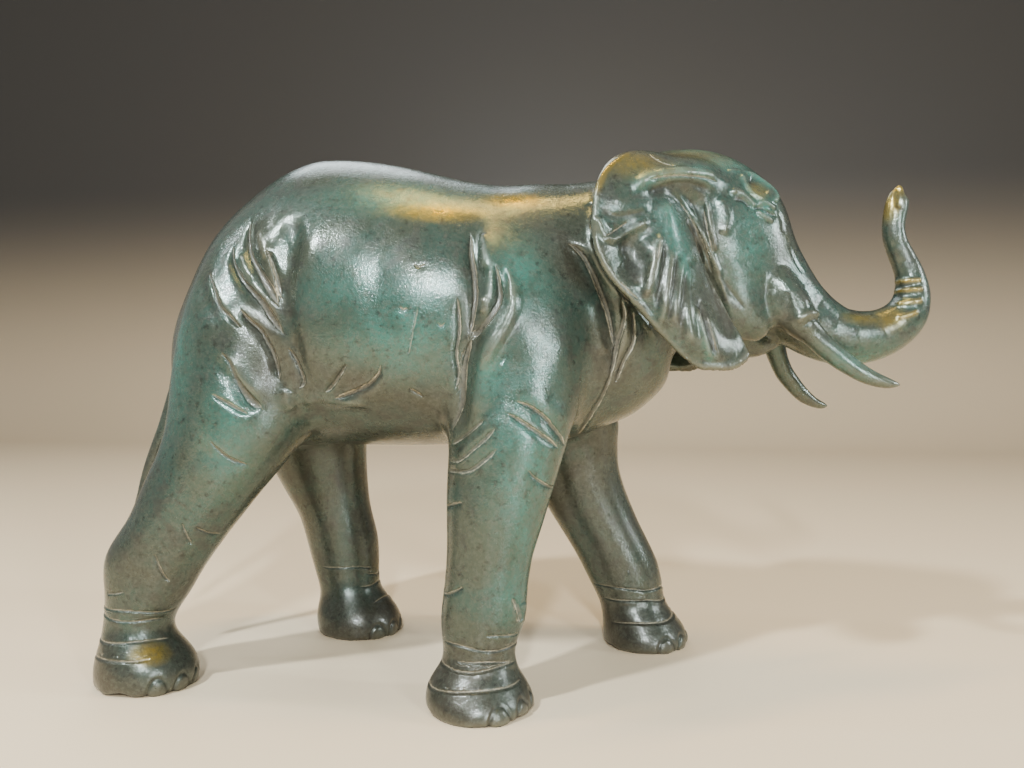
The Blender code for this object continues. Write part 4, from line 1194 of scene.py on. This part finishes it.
# %% Mix the patina
GREY_GREEN = (0.082, 0.098, 0.074, 1)
SEA_GREEN = (0.066, 0.108, 0.088, 1)
BRIGHT_VERDIGRIS = (0.062, 0.170, 0.136, 1)
OLIVE_BROWN = (0.068, 0.072, 0.062, 1)
WARM_BROWN = (0.078, 0.071, 0.055, 1)
DARK_BROWN = (0.027, 0.027, 0.023, 1)
WORN_BRONZE = (0.260, 0.250, 0.190, 1)
# gold of rubbed metal, also used for the painted warm highlight on the back and a hind foot
RUBBED_GOLD_AND_GLINT = (0.560, 0.380, 0.060, 1)
PALE_FILM = (0.130, 0.140, 0.112, 1)
DRY_DUST = (0.150, 0.134, 0.102, 1)
PALE_CREAM = (0.480, 0.430, 0.320, 1)

patina = Finish("patinated_bronze_skin")
# Noise from broad clouds down to pits; the first number is its size in millimetres
clouds = patina.noise(24, 5, 0.6, distortion=0.6)
blotches = patina.noise(6, 6, 0.65, distortion=0.4)
specks = patina.noise(2.2, 5, 0.7)
grains = patina.noise(0.75, 3, 0.6)
film = patina.noise(1.3, 6, 0.75)
pits = patina.noise(0.4, 2, 0.5)

# Two greens in clouds with olive blotches, then verdigris and brown where they were painted
green = patina.mix(patina.spread(clouds, 0.40, 0.62), GREY_GREEN, SEA_GREEN)
green = patina.mix(patina.spread(blotches, 0.47, 0.64, 0, 0.75), green, OLIVE_BROWN)
verdigris_amount = patina.times(patina.map("verdigris"),
                                patina.spread(blotches, 0.32, 0.62, 0.40, 1.0), True)
colour = patina.mix(verdigris_amount, green, BRIGHT_VERDIGRIS)
umber_amount = patina.times(patina.map("umber"),
                            patina.spread(clouds, 0.30, 0.66, 1.0, 0.6), True)
colour = patina.mix(umber_amount, colour, WARM_BROWN)
# Dark hollows and specks, a pale film, worn high places, and gold: rubbed gold with a painted warm
# highlight on the back and a hind foot
hollow_amount = patina.times(patina.map("hollow"), 0.65)
colour = patina.mix(hollow_amount, colour, DARK_BROWN)
mottle = patina.spread(specks, 0.52, 0.68, 0.0, 0.65)
colour = patina.mix(mottle, colour, DARK_BROWN)
colour = patina.mix(patina.spread(film, 0.46, 0.60, 0.0, 0.45), colour, PALE_FILM)
gilt_and_glint_amount = patina.times(patina.map("gilt_and_warm_glint"),
                           patina.spread(specks, 0.30, 0.72, 0.85, 0.30), True)
colour = patina.mix(patina.times(patina.map("rub"), 0.35), colour, WORN_BRONZE)
# lay on the gold: rubbed gold, and a painted warm highlight on the back and a hind foot
colour = patina.mix(gilt_and_glint_amount, colour, RUBBED_GOLD_AND_GLINT)

# %% [markdown]
# ## Dust and worn lips
#
# Dry dust stays in each cut of an old bronze, and the lip of the cut is worn pale where a
# cloth catches it.  The maps of the nearest cut say how far off it is and how wide, so the
# material finds a narrow band at its edge, and noise breaks the band up as wear does.

# %% Dust in the cuts and a pale line along each lip
hand_wobble = patina.times(patina.minus(patina.noise(1.2, 3, 0.6), 0.5), 0.7)
off_middle = patina.plus(patina.size(patina.map("cut_aside")), hand_wobble)
within = patina.minus(patina.map("cut_half"), off_middle)
beyond = patina.minus(patina.map("cut_gap"), patina.map("cut_half"))
by_a_cut = patina.times(patina.spread(beyond, 0.9, 0.4),
                        patina.spread(patina.map("cut_half"), 0.05, 0.2))
in_a_cut = patina.times(patina.spread(within, -0.05, 0.35), by_a_cut)
on_a_lip = patina.spread(patina.size(patina.minus(within, 0.10)), 0.26, 0.12)
on_a_lip = patina.times(on_a_lip, by_a_cut)
on_a_lip = patina.times(on_a_lip, patina.spread(patina.map("cut_aside"), -0.10, 0.10, 0.0, 1))
dust_amount = patina.times(in_a_cut, patina.spread(grains, 0.30, 0.62, 0.20, 0.70))
cream_amount = patina.times(on_a_lip, patina.spread(specks, 0.34, 0.56, 0.35, 0.95))
cream_amount = patina.times(cream_amount,
                            patina.spread(patina.map("cut_half"), 0.15, 0.60, 0.35, 1.0))
cream_amount = patina.times(cream_amount, patina.spread(blotches, 0.38, 0.54, 0.25, 1.0))
colour = patina.mix(dust_amount, colour, DRY_DUST)
colour = patina.mix(cream_amount, colour, PALE_CREAM)
patina.join(patina.shader.inputs["Base Color"], colour)

# %% [markdown]
# ## Metal, gloss and wax
#
# Patina is a thin crust on the metal, so the skin is partly metallic, more so where it is
# gold, rubbed or painted as a warm highlight, and less so under dust.  The wax is a clear coat
# over all.  Grain finer than the skin's mesh is a bump in the material.

# %% Set the metal, gloss and wax
metal = patina.plus(0.40, patina.times(gilt_and_glint_amount, 0.55))
metal = patina.minus(metal, patina.times(verdigris_amount, 0.25))
metal = patina.minus(metal, patina.times(dust_amount, 0.4))
metal = patina.minus(metal, patina.times(cream_amount, 0.4), True)
patina.join(patina.shader.inputs["Metallic"], metal)
gloss = patina.spread(blotches, 0.30, 0.70, 0.20, 0.32)
gloss = patina.plus(gloss, patina.times(patina.map("hollow"), 0.16))
gloss = patina.plus(gloss, patina.times(umber_amount, 0.10))
gloss = patina.plus(gloss, patina.times(dust_amount, 0.22), True)
patina.join(patina.shader.inputs["Roughness"], gloss)
patina.shader.inputs["Coat Weight"].default_value = 0.50
patina.shader.inputs["Coat Roughness"].default_value = 0.09
patina.shader.inputs["Specular IOR Level"].default_value = 0.5
dent = patina.times(patina.spread(within, -0.35, 0.30), by_a_cut)
shape = patina.bump(patina.minus(1.0, dent), 0.7, 0.30)
for grain, strength, distance in ((blotches, 0.15, 0.50), (specks, 0.22, 0.20),
                                  (grains, 0.50, 0.16), (pits, 0.45, 0.07)):
    shape = patina.bump(grain, strength, distance, shape)
patina.join(patina.shader.inputs["Normal"], shape)
patina.join(patina.shader.inputs["Coat Normal"], shape)

elephant.data.materials.clear()
elephant.data.materials.append(patina.material)
select_only(elephant)
bpy.ops.object.shade_smooth()
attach(elephant, "root")
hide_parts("elephant")
print("patina nodes:", len(patina.tree.nodes))

# %% [markdown]
# ## Pale cloth and dim wall
#
# A dark bronze shows best on a pale cloth with a dimmer wall behind it.  The sweep is one
# sheet, so its colour changes with height above the floor.

# %% Finish the sweep
PALE_CLOTH = (0.93, 0.75, 0.54, 1)
DIM_WALL = (0.12, 0.112, 0.105, 1)
WALL_STARTS = 0.02       # metres above the floor
WALL_ENDS = 0.5

paper = Finish("pale_sweep")
paper.shader.inputs["Roughness"].default_value = 0.45
split = paper.tree.nodes.new("ShaderNodeSeparateXYZ")
paper.join(split.inputs["Vector"], paper.place)
wall = paper.spread(split.outputs["Z"], WALL_STARTS, WALL_ENDS)
cream = paper.mix(wall, PALE_CLOTH, DIM_WALL)
paper.join(paper.shader.inputs["Base Color"], cream)
sweep.data.materials.append(paper.material)
print("sweep finished")
